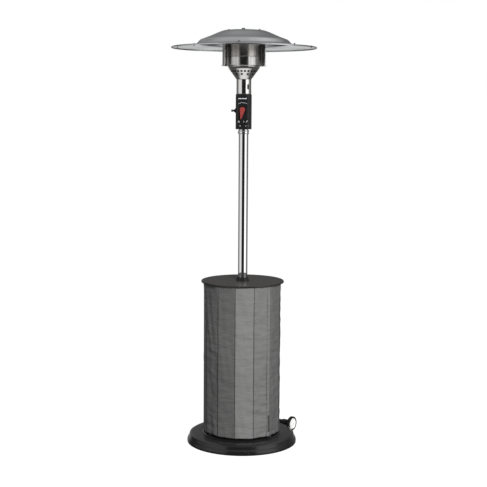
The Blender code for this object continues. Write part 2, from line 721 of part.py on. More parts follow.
def wheel(number, spot, outwards):
    """Tyre and hub, both turned about the axle."""
    half = WHEEL_WIDTH / 2
    tyre = turned(
        f"wheel_{number}_tyre",
        [(WHEEL_RADIUS - 0.003, half), (WHEEL_RADIUS, half - 0.003), (WHEEL_RADIUS, -half + 0.003),
         (WHEEL_RADIUS - 0.003, -half), (HUB_RADIUS + GAP, -half), (HUB_RADIUS + GAP, half)],
        RUBBER, 24,
    )
    bore = AXLE_RADIUS + GAP
    hub = turned(
        f"wheel_{number}_hub",
        [(bore, half - 0.001), (HUB_RADIUS - 0.002, half - 0.001), (HUB_RADIUS, half - 0.003),
         (HUB_RADIUS, -half + 0.001), (bore, -half + 0.001)],
        PALE_PLASTIC, 24,
    )
    for piece in (tyre, hub):
        aim(piece, outwards, spot)


# ---------------------------------------------------------------- assembly

def make_heater():
    make_base()
    pole_foot = make_bottle_frame()
    make_cover()
    make_pole(pole_foot)
    make_control_box()
    plug = make_gas_valve()
    knob = make_knob()
    hung_on("valve_axis", (0.0, 0.0, CONTROL_HEIGHT), [plug, knob])
    hung_on("igniter_axis", (0.0, IGNITER_Y, IGNITER_HEIGHT), [make_igniter()])
    cap_top = make_burner()
    make_wind_shield(cap_top)
    make_reflector(cap_top)
    make_wheels()


make_heater()
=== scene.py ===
"""Looks of the gas patio heater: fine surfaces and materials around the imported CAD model.

Metres, in the CAD's own frame: +Z up, the axis of the heater at X = Y = 0, the knob facing -Y.
An angle named "bearing" is measured at the axis from -Y towards +X, in degrees.
"""

import json
from math import acos, cos, exp, pi, radians, sin, sqrt, tan, tau

import bmesh
import bpy
from mathutils import Matrix, Vector, noise


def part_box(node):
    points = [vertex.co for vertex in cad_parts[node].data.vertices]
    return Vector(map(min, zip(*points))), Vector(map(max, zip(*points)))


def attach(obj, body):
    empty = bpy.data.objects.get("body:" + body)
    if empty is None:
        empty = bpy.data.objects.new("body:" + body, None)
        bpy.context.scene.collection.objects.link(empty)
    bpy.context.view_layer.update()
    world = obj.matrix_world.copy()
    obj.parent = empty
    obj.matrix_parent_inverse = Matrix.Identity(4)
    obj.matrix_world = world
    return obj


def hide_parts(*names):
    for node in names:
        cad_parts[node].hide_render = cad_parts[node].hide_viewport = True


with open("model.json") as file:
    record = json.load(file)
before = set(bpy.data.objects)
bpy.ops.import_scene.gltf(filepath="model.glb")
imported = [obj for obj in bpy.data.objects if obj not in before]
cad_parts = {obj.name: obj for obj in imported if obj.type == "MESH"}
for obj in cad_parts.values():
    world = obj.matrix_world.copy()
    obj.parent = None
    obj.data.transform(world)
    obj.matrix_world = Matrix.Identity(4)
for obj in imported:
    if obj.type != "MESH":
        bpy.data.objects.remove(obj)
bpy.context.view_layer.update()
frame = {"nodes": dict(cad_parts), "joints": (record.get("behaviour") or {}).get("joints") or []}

# ---------------------------------------------------------------- shared sizes

GAP = 0.0003                     # clearance between pieces that touch
CONTROL_HEIGHT = 1.7585          # centre line of the knob
IGNITER = (0, -0.008, 1.753)     # centre line of the igniter button, along X
BOX_SEAM = 0.01                  # where the control box's two shells meet, along Y
PANELS = 13                      # flat panels of the cloth cover
SEAM_BEARING = -5.1              # bearing of one seam of the cover
# painted light and shade of each panel, a factor on the cloth's colour, counted from that seam towards +X
PANEL_LIGHT_SHADES = (1.0, 0.86, 0.7, 0.82, 0.72, 0.9, 0.76, 0.84, 0.7, 0.88, 0.78, 0.68, 0.6)
FINE = 144                       # facets round a large turned piece


def place(bearing, radius, height=0.0):
    """The point at a bearing and a distance from the heater's axis."""
    angle = radians(bearing)
    return Vector((radius * sin(angle), -radius * cos(angle), height))


def low_of(node):
    return Vector(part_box(node)[0])


def high_of(node):
    return Vector(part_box(node)[1])


def heights(node):
    """The heights of a node's lowest and highest points."""
    return low_of(node).z, high_of(node).z


def spread(low, high, steps):
    """Numbers from low to high in even steps, both ends included."""
    return [low + (high - low) * k / steps for k in range(steps + 1)]


def arc(centre, radius, first, last, steps):
    """Points (x, y) on a circle between two angles in radians."""
    return [(centre[0] + radius * cos(angle), centre[1] + radius * sin(angle))
            for angle in spread(first, last, steps)]


# ---------------------------------------------------------------- material building

class Nodes:
    """Short ways to add nodes to one tree and to link them."""

    def __init__(self, tree, coordinate):
        self.tree = tree
        self.place = self.add("ShaderNodeTexCoord").outputs[coordinate]

    def add(self, kind, links=(), **settings):
        """A node with its settings, and its inputs linked or set by name or number."""
        node = self.tree.nodes.new(kind)
        for name, value in settings.items():
            setattr(node, name, value)
        for socket, value in dict(links).items():
            if isinstance(value, bpy.types.NodeSocket):
                self.tree.links.new(value, node.inputs[socket])
            else:
                node.inputs[socket].default_value = value
        return node

    def stretched(self, scale):
        """The object's coordinates, scaled apart along X, Y and Z."""
        links = {"Vector": self.place, "Scale": scale}
        return self.add("ShaderNodeMapping", links).outputs["Vector"]

    def noise(self, scale, detail=3.0, stretch=None, rough=0.5, vector=None):
        vector = vector or (self.stretched(stretch) if stretch else self.place)
        links = {"Vector": vector, "Scale": scale, "Detail": detail, "Roughness": rough}
        return self.add("ShaderNodeTexNoise", links).outputs["Fac"]

    def remap(self, value, low, high, to_low=0.0, to_high=1.0):
        """The value's range from low to high, spread over to_low to to_high and held there."""
        links = {0: value, 1: low, 2: high, 3: to_low, 4: to_high}
        return self.add("ShaderNodeMapRange", links).outputs[0]

    def math(self, operation, first, second=0.0, third=0.0):
        links = {0: first, 1: second, 2: third}
        return self.add("ShaderNodeMath", links, operation=operation).outputs[0]

    def mix(self, factor, first, second, blend="MIX"):
        """A colour between two, each a link, three numbers or one number for a grey."""
        node = self.add("ShaderNodeMix", {"Factor": factor}, data_type="RGBA", blend_type=blend)
        for socket, value in (("A", first), ("B", second)):
            target = [s for s in node.inputs if s.name == socket and s.type == "RGBA"][0]
            if isinstance(value, bpy.types.NodeSocket):
                self.tree.links.new(value, target)
            else:
                target.default_value = (*(value if isinstance(value, tuple) else (value,) * 3), 1.0)
        return [s for s in node.outputs if s.type == "RGBA"][0]

    def ramp(self, factor, stops, interpolation="LINEAR"):
        """A grey that follows stops, each a place from 0 to 1 and a brightness."""
        node = self.add("ShaderNodeValToRGB", {"Fac": factor})
        node.color_ramp.interpolation = interpolation
        entries = node.color_ramp.elements
        entries.remove(entries[-1])
        for number, (spot, value) in enumerate(stops):
            entry = entries[0] if number == 0 else entries.new(spot)
            entry.position = spot
            entry.color = (value, value, value, 1.0)
        return node.outputs["Color"]

    def around(self, centre=(0.0, 0.0)):
        """Angle about the vertical axis, in radians, and the distance from it."""
        parts = self.add("ShaderNodeSeparateXYZ", {"Vector": self.place}).outputs
        x = self.math("SUBTRACT", parts["X"], centre[0])
        y = self.math("SUBTRACT", parts["Y"], centre[1])
        angle = self.math("ARCTAN2", y, x)
        distance = self.math("SQRT", self.math("ADD", self.math("MULTIPLY", x, x),
                                               self.math("MULTIPLY", y, y)))
        return angle, distance, parts["Z"]

    def vector(self, x, y, z):
        return self.add("ShaderNodeCombineXYZ", {"X": x, "Y": y, "Z": z}).outputs["Vector"]


class Look(Nodes):
    """A Principled material whose colour, roughness and relief come from patterns."""

    def __init__(self, name, colour, roughness, metallic=0.0, **sockets):
        self.material = bpy.data.materials.new(name)
        self.material.use_nodes = True
        super().__init__(self.material.node_tree, "Object")
        self.shader = self.tree.nodes["Principled BSDF"]
        self.shader.inputs["Base Color"].default_value = (*colour, 1.0)
        self.shader.inputs["Roughness"].default_value = roughness
        self.shader.inputs["Metallic"].default_value = metallic
        for socket, value in sockets.items():
            self.shader.inputs[socket.replace("_", " ")].default_value = value

    def colour(self, value):
        self.tree.links.new(value, self.shader.inputs["Base Color"])

    def roughness(self, value):
        self.tree.links.new(value, self.shader.inputs["Roughness"])

    def bump(self, height, distance, strength=1.0):
        """Adds relief on top of any already there; distance is its depth in metres."""
        socket = self.shader.inputs["Normal"]
        links = {"Height": height, "Distance": distance, "Strength": strength}
        if socket.links:
            links["Normal"] = socket.links[0].from_socket
        self.tree.links.new(self.add("ShaderNodeBump", links).outputs["Normal"], socket)


def shaded(colour, factor, lift=0.0):
    """A colour made darker or lighter."""
    return tuple(factor * value + lift for value in colour)


def chrome_look():
    """Polished chrome with faint smudges and a few hairline marks."""
    look = Look("chrome_polished", (0.8, 0.8, 0.81), 0.06, 1.0)
    smudge = look.noise(9.0, 4.0, stretch=(1, 1, 0.35))
    look.roughness(look.remap(smudge, 0.35, 0.75, 0.03, 0.07))
    hair = look.noise(300.0, 2.0, stretch=(1, 1, 0.02))
    look.bump(hair, 0.000002, 0.25)
    return look.material


def steel_look(name="steel_brushed", tint=(0.62, 0.61, 0.6), rough=0.24, metal=1.0):
    """Stainless steel, brushed one way, with patchy wear and a slight heat tint."""
    look = Look(name, tint, rough, metal)
    grain = look.noise(420.0, 3.0, stretch=(1, 1, 0.03))
    streak = look.noise(95.0, 3.0, stretch=(1, 1, 0.03))
    patch = look.noise(14.0, 4.0)
    fine = look.mix(look.remap(grain, 0.3, 0.7), tint, shaded(tint, 0.8))
    shade = look.mix(look.remap(streak, 0.4, 0.62), fine, shaded(tint, 0.66))
    warm = look.mix(look.remap(patch, 0.5, 0.8, 0.0, 0.35), shade, (0.55, 0.5, 0.44))
    look.colour(warm)
    look.roughness(look.math("ADD", look.remap(grain, 0.3, 0.7, rough - 0.05, rough + 0.08),
                             look.remap(patch, 0.4, 0.7, 0.0, 0.05)))
    look.bump(grain, 0.00002, 0.5)
    return look.material


def polished_steel_look():
    """Bright rolled steel, nearly a mirror, for the burner tube, funnel and lower ring."""
    look = Look("steel_bright", (0.74, 0.73, 0.72), 0.12, 1.0)
    grain = look.noise(500.0, 2.0, stretch=(1, 1, 0.05))
    patch = look.noise(18.0, 4.0)
    look.roughness(look.math("ADD", look.remap(grain, 0.3, 0.7, 0.09, 0.15),
                             look.remap(patch, 0.45, 0.7, 0.0, 0.06)))
    look.colour(look.mix(look.remap(patch, 0.45, 0.75), (0.74, 0.73, 0.72), (0.66, 0.64, 0.61)))
    look.bump(grain, 0.00001, 0.4)
    return look.material


def emitter_look():
    """Fine perforated steel band: staggered pin holes about 3 mm apart, painted dark as the shade inside
    them rather than cut, and browned by heat.
    """
    look = Look("emitter_perforated", (0.6, 0.57, 0.54), 0.24, 1.0)
    angle, _, height = look.around()
    across = look.math("MULTIPLY", angle, 0.088 / 0.0032)
    up = look.math("MULTIPLY", height, 1.0 / 0.0032)
    row = look.math("FLOOR", up)
    stagger = look.math("MULTIPLY", look.math("MODULO", row, 2.0), 0.5)
    x = look.math("SUBTRACT", look.math("FRACT", look.math("ADD", across, stagger)), 0.5)
    y = look.math("SUBTRACT", look.math("FRACT", up), 0.5)
    spread = look.math("ADD", look.math("MULTIPLY", x, x), look.math("MULTIPLY", y, y))
    metal = look.remap(spread, 0.03, 0.06)
    streak = look.noise(70.0, 3.0, stretch=(1, 1, 0.03))
    stain = look.remap(look.noise(16.0, 4.0, stretch=(1, 1, 0.3)), 0.4, 0.7)
    brushed = look.mix(look.remap(streak, 0.38, 0.62), (0.66, 0.64, 0.61), (0.34, 0.33, 0.32))
    body = look.mix(look.math("MULTIPLY", stain, 0.6), brushed, (0.44, 0.39, 0.34))
    # the holes are not cut: each is painted near black, a painted shade of the inside seen through it
    look.colour(look.mix(metal, (0.12, 0.11, 0.105), body))
    look.roughness(look.remap(metal, 0.0, 1.0, 0.5, 0.21))
    look.bump(metal, 0.0002, 0.3)
    return look.material


def reflector_look():
    """Spun aluminium: rings about the axis, thin cloudy oxide and light handling marks."""
    look = Look("aluminium_spun", (0.6, 0.61, 0.62), 0.3, 1.0)
    angle, distance, _ = look.around()
    ring_place = look.vector(look.math("MULTIPLY", distance, 900.0),
                             look.math("MULTIPLY", angle, 1.2), 0.0)
    rings = look.noise(1.0, 3.0, vector=ring_place)
    cloud = look.noise(7.0, 5.0)
    base = look.mix(look.remap(cloud, 0.35, 0.7), (0.63, 0.64, 0.65), (0.5, 0.51, 0.52))
    look.colour(look.mix(look.remap(rings, 0.35, 0.65, 0.0, 0.45), base, (0.42, 0.43, 0.44)))
    look.roughness(look.math("ADD", look.remap(rings, 0.3, 0.7, 0.22, 0.3),
                             look.remap(cloud, 0.4, 0.7, 0.0, 0.06)))
    look.bump(rings, 0.00003, 0.4)
    return look.material


def enamel_look(name, colour, rough, spread=0.05, coat=0.25):
    """Sprayed enamel: orange peel, slight sheen changes, and dust on the level faces."""
    look = Look(name, colour, rough, 0.0, Coat_Weight=coat, Coat_Roughness=0.12,
                Specular_IOR_Level=0.22)
    peel = look.noise(420.0, 2.0)
    cloud = look.noise(11.0, 5.0)
    up = look.add("ShaderNodeSeparateXYZ", {
        "Vector": look.add("ShaderNodeNewGeometry").outputs["Normal"]}).outputs["Z"]
    dust = look.math("MULTIPLY", look.remap(up, 0.7, 1.0), look.remap(cloud, 0.4, 0.8, 0.03, 0.22))
    look.colour(look.mix(dust, colour, shaded(colour, 2.0, 0.008)))
    look.roughness(look.remap(cloud, 0.3, 0.7, rough - spread, rough + spread))
    look.bump(peel, 0.00004, 0.3)
    return look.material


def plastic_look(name, colour, rough, grain=900.0, depth=0.00004, shine=0.5):
    """Moulded plastic with a fine spark-eroded grain and slightly polished high spots."""
    look = Look(name, colour, rough, Specular_IOR_Level=shine)
    fine = look.noise(grain, 2.0)
    wear = look.noise(30.0, 4.0)
    look.colour(look.mix(look.remap(wear, 0.45, 0.75), colour, shaded(colour, 1.25, 0.002)))
    look.roughness(look.math("ADD", look.remap(fine, 0.3, 0.7, rough - 0.04, rough + 0.06),
                             look.remap(wear, 0.45, 0.75, 0.0, -0.06)))
    look.bump(fine, depth, 0.5)
    return look.material


def rubber_look():
    """Dull black rubber with a powdery bloom."""
    look = Look("rubber_black", (0.006, 0.006, 0.006), 0.75, Specular_IOR_Level=0.2)
    bloom = look.noise(40.0, 5.0)
    look.colour(look.mix(look.remap(bloom, 0.45, 0.75), (0.006, 0.006, 0.006), (0.018, 0.018, 0.017)))
    look.roughness(look.remap(bloom, 0.3, 0.7, 0.65, 0.85))
    look.bump(look.noise(700.0, 2.0), 0.00006, 0.5)
    return look.material


def iron_look():
    """Sand-cast iron for the ballast ring."""
    look = Look("iron_cast", (0.07, 0.07, 0.072), 0.75, 0.5)
    look.colour(look.mix(look.noise(60.0, 5.0), (0.05, 0.05, 0.052), (0.11, 0.09, 0.08)))
    look.bump(look.noise(350.0, 4.0), 0.0003, 0.6)
    return look.material


def brass_look():
    """Machined brass, slightly tarnished."""
    look = Look("brass_machined", (0.7, 0.5, 0.2), 0.32, 1.0)
    tarnish = look.remap(look.noise(45.0, 4.0), 0.4, 0.75)
    look.colour(look.mix(tarnish, (0.72, 0.52, 0.22), (0.42, 0.29, 0.12)))
    look.roughness(look.remap(tarnish, 0.0, 1.0, 0.26, 0.48))
    return look.material


def zinc_look():
    """Bright zinc plate with its soft spangle."""
    look = Look("zinc_plate", (0.6, 0.61, 0.63), 0.34, 1.0)
    spangle = look.noise(120.0, 3.0)
    look.colour(look.mix(look.remap(spangle, 0.4, 0.6), (0.62, 0.63, 0.65), (0.48, 0.49, 0.51)))
    look.roughness(look.remap(spangle, 0.35, 0.65, 0.28, 0.44))
    return look.material


def cloth_look(name="cloth_grey", light=(0.142, 0.141, 0.14), dark=(0.09, 0.09, 0.089)):
    """Woven polyester: threads 0.9 mm apart, slubs, and a painted shade that darkens each panel by its
    own amount.
    """
    look = Look(name, light, 0.6, 0.0)
    angle, _, height = look.around()
    pitch = 0.0009
    warp = look.math("MULTIPLY", angle, 0.205 / pitch * pi)
    weft = look.math("MULTIPLY", height, pi / pitch)
    over = look.math("MULTIPLY", look.math("SINE", warp), look.math("SINE", weft))
    thread = look.remap(over, -1.0, 1.0)
    slub = look.noise(90.0, 3.0, stretch=(1, 1, 5.0))
    drift = look.noise(3.5, 4.0)
    tone = look.math("ADD", look.remap(thread, 0.0, 1.0, 0.0, 0.4),
                     look.math("ADD", look.remap(slub, 0.3, 0.7, 0.0, 0.25),
                               look.remap(drift, 0.3, 0.7, 0.0, 0.35)))
    woven = look.mix(tone, dark, light)
    # turns from the first seam, as a panel number; each panel is darkened by its own painted shade
    seam = radians(SEAM_BEARING) - pi / 2
    turns = look.math("DIVIDE", look.math("SUBTRACT", angle, seam), tau)
    panel = look.math("FLOOR", look.math("MULTIPLY", look.math("FRACT", turns), PANELS))
    middle = look.math("DIVIDE", look.math("ADD", panel, 0.5), PANELS)
    panel_shade_stops = [(number / PANELS, shade) for number, shade in enumerate(PANEL_LIGHT_SHADES)]
    painted_panel_shade = look.ramp(middle, panel_shade_stops, "CONSTANT")
    look.colour(look.mix(1.0, woven, painted_panel_shade, "MULTIPLY"))
    look.roughness(look.remap(slub, 0.3, 0.7, 0.54, 0.66))
    look.bump(thread, 0.0001, 0.4)
    look.bump(slub, 0.0003, 0.3)
    look.bump(look.noise(13.0, 4.0, stretch=(1, 1, 3.2)), 0.012, 0.55)
    return look.material


# each look: its material and the slot it belongs to
LOOKS = {
    "chrome": (chrome_look(), "chrome"),
    "steel": (steel_look(), "brushed_steel"),
    "bright": (polished_steel_look(), "brushed_steel"),
    "ring": (steel_look("steel_ring", (0.66, 0.65, 0.64), 0.17), "brushed_steel"),
    "shield": (steel_look("steel_shield", (0.72, 0.71, 0.7), 0.42, 0.25), "brushed_steel"),
    "emitter": (emitter_look(), "brushed_steel"),
    "reflector": (reflector_look(), "aluminium"),
    "enamel": (enamel_look("enamel_black", (0.0062, 0.0061, 0.0064), 0.24, coat=0.4), "black_paint"),
    "lid": (enamel_look("enamel_dark_grey", (0.025, 0.023, 0.022), 0.4, coat=0.06), "lid_paint"),
    # a darker copy of the lid's enamel for the rolled lip: painted shade of the lip
    "lip": (enamel_look("enamel_lip_shaded", (0.01, 0.01, 0.01), 0.34, coat=0.1), "lid_paint"),
    "plastic": (plastic_look("plastic_black", (0.006, 0.006, 0.0065), 0.42, shine=0.28), "black_plastic"),
    "red": (plastic_look("plastic_red", (0.145, 0.021, 0.019), 0.34, 1400.0, 0.00001), "red_plastic"),
    # a darker copy of the red plastic for the knob's dial: painted shade of the knob's side
    "shaded_red": (plastic_look("plastic_red_painted_shade", (0.06, 0.006, 0.006), 0.35), "red_plastic"),
    "pale": (plastic_look("plastic_pale", (0.7, 0.7, 0.69), 0.45, 700.0), "pale_plastic"),
    "ink": (plastic_look("ink_pale", (0.34, 0.345, 0.35), 0.6), "pale_plastic"),
    # a near-black sheet for the liners: painted shade inside the tube and the funnel
    "dark": (plastic_look("painted_shade_inside", (0.004, 0.004, 0.004), 0.8), "black_plastic"),
    "rubber": (rubber_look(), "tyre"),
    "iron": (iron_look(), "cast_iron"),
    "brass": (brass_look(), "brass"),
    "zinc": (zinc_look(), "zinc_steel"),
    "cloth": (cloth_look(), "grey_cloth"),
    "thread": (cloth_look("cloth_thread", (0.05, 0.05, 0.05), (0.03, 0.03, 0.03)), "grey_cloth"),
    # dark copy of the cloth for the seam piping: a painted shade of the creases at the seams
    "seam": (cloth_look("cloth_seam_shade", (0.03, 0.03, 0.03), (0.018, 0.018, 0.018)), "grey_cloth"),
}

# ---------------------------------------------------------------- shape building


def object_from(shape, name):
    """A bmesh, used up, as an object of the scene with its faces turned outwards."""
    mesh = bpy.data.meshes.new(name)
    bmesh.ops.recalc_face_normals(shape, faces=shape.faces)
    shape.to_mesh(mesh)
    shape.free()
    made = bpy.data.objects.new(name, mesh)
    bpy.context.scene.collection.objects.link(made)
    return made


def smooth_piece(piece, angle=32.0):
    """Smooth shading, with edges sharper than an angle in degrees kept."""
    piece.data.shade_smooth()
    piece.data.set_sharp_from_angle(angle=radians(angle))


def piece_from(shape, name, look, body="heater", smooth=32.0, stands_for=()):
    """Finish a bmesh as one piece: material, smooth shading, body and replaced nodes."""
    piece = object_from(shape, name)
    material, slot = LOOKS[look]
    piece.data.materials.append(material)
    smooth_piece(piece, smooth)
    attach(piece, body)
    if stands_for:
        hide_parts(*stands_for)
    return piece


def rounded(profile, closed=True, steps=5):
    """Replace each corner (a, b, round) of a flat outline by an arc of that radius."""
    points = [(Vector(p[:2]), p[2] if len(p) > 2 else 0.0) for p in profile]
    out = []
    count = len(points)
    for i, (corner, radius) in enumerate(points):
        ends = not closed and i in (0, count - 1)
        if ends or radius <= 0.0:
            out.append(corner)
            continue
        before = points[i - 1][0] - corner
        after = points[(i + 1) % count][0] - corner
        opening = before.angle(after)
        reach = min(radius / tan(opening / 2), 0.49 * before.length, 0.49 * after.length)
        start, end = before.normalized() * reach, after.normalized() * reach
        for k in range(steps + 1):
            t = k / steps
            out.append(corner + start * (1 - t) ** 2 + end * t ** 2)
    return out


def aimed(spot, axis):
    """The move that puts a shape's origin at a spot and its Z axis along another axis."""
    return Matrix.Translation(spot) @ Vector(axis).to_track_quat("Z", "Y").to_matrix().to_4x4()


def turned_shape(shape, profile, closed, steps, sweep=tau, start=0.0, matrix=None):
    """Turn an outline of (radius, height) points about Z into a bmesh."""
    full = abs(sweep - tau) < 1e-6
    columns = steps if full else steps + 1
    rings = []
    for k in range(columns):
        angle = start + sweep * k / steps
        ring = []
        for radius, height in profile:
            point = Vector((radius * cos(angle), radius * sin(angle), height))
            ring.append(shape.verts.new(matrix @ point if matrix else point))
        rings.append(ring)
    rows = len(profile) if closed else len(profile) - 1
    for k in range(steps):
        left, right = rings[k], rings[(k + 1) % columns]
        for j in range(rows):
            n = (j + 1) % len(profile)
            shape.faces.new((left[j], right[j], right[n], left[n]))
    if not full and closed:
        shape.faces.new(rings[0])
        shape.faces.new(rings[-1][::-1])
    bmesh.ops.remove_doubles(shape, verts=shape.verts, dist=0.000005)
    return shape


def turned(name, profile, look, body="heater", steps=FINE, axis=None, at=(0, 0, 0), stands_for=()):
    """A turned piece; axis and at aim its own Z axis and move its origin.

    An outline that starts and ends on the axis makes a solid, any other a ring.
    """
    closed = profile[0][0] > 0 or profile[-1][0] > 0
    matrix = aimed(at, axis) if axis else None
    shape = turned_shape(bmesh.new(), rounded(profile, closed), closed, steps, matrix=matrix)
    holes = [e for e in shape.edges if e.is_boundary]
    if holes:
        bmesh.ops.holes_fill(shape, edges=holes)
    return piece_from(shape, name, look, body, stands_for=stands_for)


# small round heads: outline from the middle of the crown down to the seat, and facets
HEADS = {
    "screw": ([(0.0, 0.0016), (0.0026, 0.0014, 0.0006), (0.0034, 0.0)], 24),
    "clamp screw": ([(0.0, 0.0052), (0.003, 0.0046, 0.001), (0.0036, 0.0022, 0.001), (0.0036, 0.0)], 24),
    "tube rivet": ([(0.0, 0.0013), (0.0022, 0.0009, 0.0006), (0.0026, 0.0)], 20),
    "bar rivet": ([(0.0, 0.0015), (0.0026, 0.0011, 0.0008), (0.0032, 0.0)], 20),
    "bolt": ([(0.0, 0.0036), (0.0044, 0.003, 0.0016), (0.0058, 0.001, 0.001), (0.006, 0.0)], 32),
}


def head(name, kind, spot, axis, look="zinc"):
    """The head of a screw, rivet or bolt, seated on a spot and facing along an axis."""
    outline, facets = HEADS[kind]
    turned(name, outline + [(0.0, 0.0)], look, steps=facets, axis=axis, at=spot)


def join_rings(shape, rings, closed=False):
    """Walls between rings of vertices, and a face over each end unless the row is closed."""
    sides = len(rings[0])
    for low, high in zip(rings, rings[1:] + rings[:1] if closed else rings[1:]):
        for k in range(sides):
            n = (k + 1) % sides
            shape.faces.new((low[k], low[n], high[n], high[k]))
    if not closed:
        shape.faces.new(rings[0])
        shape.faces.new(rings[-1][::-1])


def sweep_tube(name, points, radius, look, body, sides=10, closed=False, stands_for=()):
    """A round wire along points, with its ends closed."""
    shape = bmesh.new()
    count = len(points)
    rings = []
    normal = Vector((0, 0, 1))
    for i, point in enumerate(points):
        ahead = points[(i + 1) % count] if closed or i < count - 1 else point
        behind = points[i - 1] if closed or i > 0 else point
        along = (Vector(ahead) - Vector(behind)).normalized()
        if abs(along.dot(normal)) > 0.95:
            normal = Vector((1, 0, 0))
        side = along.cross(normal).normalized()
        normal = side.cross(along).normalized()
        rings.append([
            shape.verts.new(Vector(point) + radius * (cos(tau * k / sides) * side
                                                      + sin(tau * k / sides) * normal))
            for k in range(sides)
        ])
    join_rings(shape, rings, closed)
    return piece_from(shape, name, look, body, 60.0, stands_for)


def slab_shape(outline, low, high, edge=0.0, levels=3, matrix=None):
    """A flat outline in X and Y made thick along Z, with its two rims rounded by edge."""
    shape = bmesh.new()
    bottom = [shape.verts.new((x, y, low)) for x, y in outline]
    face = shape.faces.new(bottom)
    grown = bmesh.ops.extrude_face_region(shape, geom=[face])
    top = [v for v in grown["geom"] if isinstance(v, bmesh.types.BMVert)]
    bmesh.ops.translate(shape, vec=(0, 0, high - low), verts=top)
    bmesh.ops.recalc_face_normals(shape, faces=shape.faces)
    if edge:
        rims = [e for e in shape.edges
                if abs(e.verts[0].co.z - e.verts[1].co.z) < 1e-7]
        bmesh.ops.bevel(shape, geom=rims, offset=edge, segments=levels, profile=0.5,
                        affect="EDGES", clamp_overlap=True)
    if matrix:
        bmesh.ops.transform(shape, matrix=matrix, verts=shape.verts)
    return shape


def block_shape(low, high, edge=0.0, levels=3, matrix=None):
    """A box between two corners with rounded edges."""
    shape = bmesh.new()
    low, high = Vector(low), Vector(high)
    bmesh.ops.create_cube(shape, size=1.0)
    bmesh.ops.scale(shape, vec=high - low, verts=shape.verts)
    bmesh.ops.translate(shape, vec=(low + high) / 2, verts=shape.verts)
    if edge:
        bmesh.ops.bevel(shape, geom=shape.edges[:], offset=edge, segments=levels, profile=0.5,
                        affect="EDGES")
    if matrix:
        bmesh.ops.transform(shape, matrix=matrix, verts=shape.verts)
    return shape


def cut_with(piece, shape):
    """Cut a bmesh out of the piece for good."""
    cutter = object_from(shape, "cutter")
    change = piece.modifiers.new("cut", "BOOLEAN")
    change.operation = "DIFFERENCE"
    change.solver = "EXACT"
    change.object = cutter
    apply_modifiers(piece)
    bpy.data.objects.remove(cutter)


def apply_modifiers(piece):
    """Replace the piece's mesh by what its modifiers make of it."""
    ready = piece.evaluated_get(bpy.context.evaluated_depsgraph_get())
    mesh = bpy.data.meshes.new_from_object(ready)
    piece.modifiers.clear()
    piece.data = mesh


def turn_z(bearing):
    """The turn about the axis that brings -Y to a bearing."""
    return Matrix.Rotation(radians(bearing), 4, "Z")


def repaint(look, *nodes):
    """Give CAD nodes that keep their shape a finished material."""
    material = LOOKS[look][0]
    for node in nodes:
        kept = frame["nodes"][node]
        for spot in kept.material_slots:
            spot.material = material
        if not kept.material_slots:
            kept.data.materials.append(material)


# ---------------------------------------------------------------- base


def make_base():
    """Pressed black base: rounded shoulder, a rolled step below it and a turned-in rim."""
    radius = high_of("base_shell").x
    top = high_of("base_shell").z
    outer = [
        (0.0, top), (0.202, top, 0.003), (0.21, top - 0.0035, 0.003), (0.218, top - 0.0015, 0.004),
        (0.264, top - 0.0045, 0.01), (0.2765, top - 0.01, 0.006), (0.2805, 0.03, 0.005),
        (0.2855, 0.0245, 0.005), (radius, 0.015, 0.006), (radius, 0.003, 0.001),
    ]
    inner = [
        (radius - 0.0018, 0.003), (radius - 0.0018, 0.014, 0.004), (0.2785, 0.028, 0.004),
        (0.2745, top - 0.014, 0.005), (0.262, top - 0.0065, 0.008), (0.0, top - 0.006),
    ]
    turned("base_shell_pressed", outer + inner, "enamel",
           stands_for=("base_shell",), steps=192)
    for number in range(4):
        spot = place(45 + 90 * number, 0.225)
        turned(
            f"foot_{number + 1}",
            [(0.0, 0.0137), (0.0125, 0.0137, 0.001), (0.014, 0.003, 0.002), (0.013, 0.0, 0.001),
             (0.009, 0.0, 0.0005), (0.008, 0.0012, 0.0005), (0.0, 0.0012)],
            "rubber", steps=40, axis=(0, 0, 1), at=spot,
            stands_for=(f"base_foot_{number + 1}",),
        )


# ---------------------------------------------------------------- cover that lifts up the pole

COVER_LOW, COVER_HIGH = heights("fabric_cover")
PANEL_TURN = 360.0 / PANELS
SEAM_RADIUS = 0.205          # the cover's radius at the seams
HEM = 0.016                  # height of the sewn hem
HOOP_RADIUS = 0.1925
# places across a panel, from one seam to the middle; the other half mirrors them
ACROSS = (0.0, 0.012, 0.028, 0.048, 0.075, 0.12, 0.18, 0.26, 0.34, 0.42, 0.5)
ROWS = 128


def cloth_offset(panel, across, height):
    """How far the cloth stands out from the flat panel: bulge, folds, seam pinch and hem."""
    width = 2 * SEAM_RADIUS * sin(radians(PANEL_TURN / 2))
    to_seam = min(across, 1 - across) * width
    open_part = sin(pi * across)
    up = (height - COVER_LOW) / (COVER_HIGH - COVER_LOW)
    bulge = 0.0022 * open_part
    # the panel right of the front seam is the most creased
    away = min(abs(panel - 1), PANELS - abs(panel - 1))
    creased = 0.48 + 0.52 * exp(-((away / 1.1) ** 2))
    folds = noise.noise(Vector((1.7 * across + 9.1 * panel, 0.6 * across, 31.0 * height)))
    slanted = noise.noise(Vector((2.6 * across + 3.3 * panel, 8.0 * height + 2.0 * across, panel)))
    broad = noise.noise(Vector((0.8 * across + 5.7 * panel, 1.3, 4.2 * height)))
    waves = 0.0042 * creased * folds + 0.003 * slanted + 0.0024 * broad
    pucker = noise.noise(Vector((4.7 * panel, 2.0, 95.0 * height)))
    near = exp(-((to_seam - 0.006) / 0.006) ** 2)
    pinch = -0.003 * exp(-((to_seam / 0.0016) ** 2))
    low_gather = exp(-up / 0.05) * 0.0022 * noise.noise(Vector((7.0 * across + panel, 4.0, 9.0 * up)))
    hem = 0.0009 if height < COVER_LOW + HEM else 0.0
    hem -= 0.0007 * exp(-(((height - COVER_LOW - HEM) / 0.0022) ** 2))
    flare = 0.003 * max(0.0, (up - 0.8) / 0.2) ** 2
    return bulge + waves * sqrt(open_part) + 0.0005 * pucker * near + pinch + low_gather + hem + flare


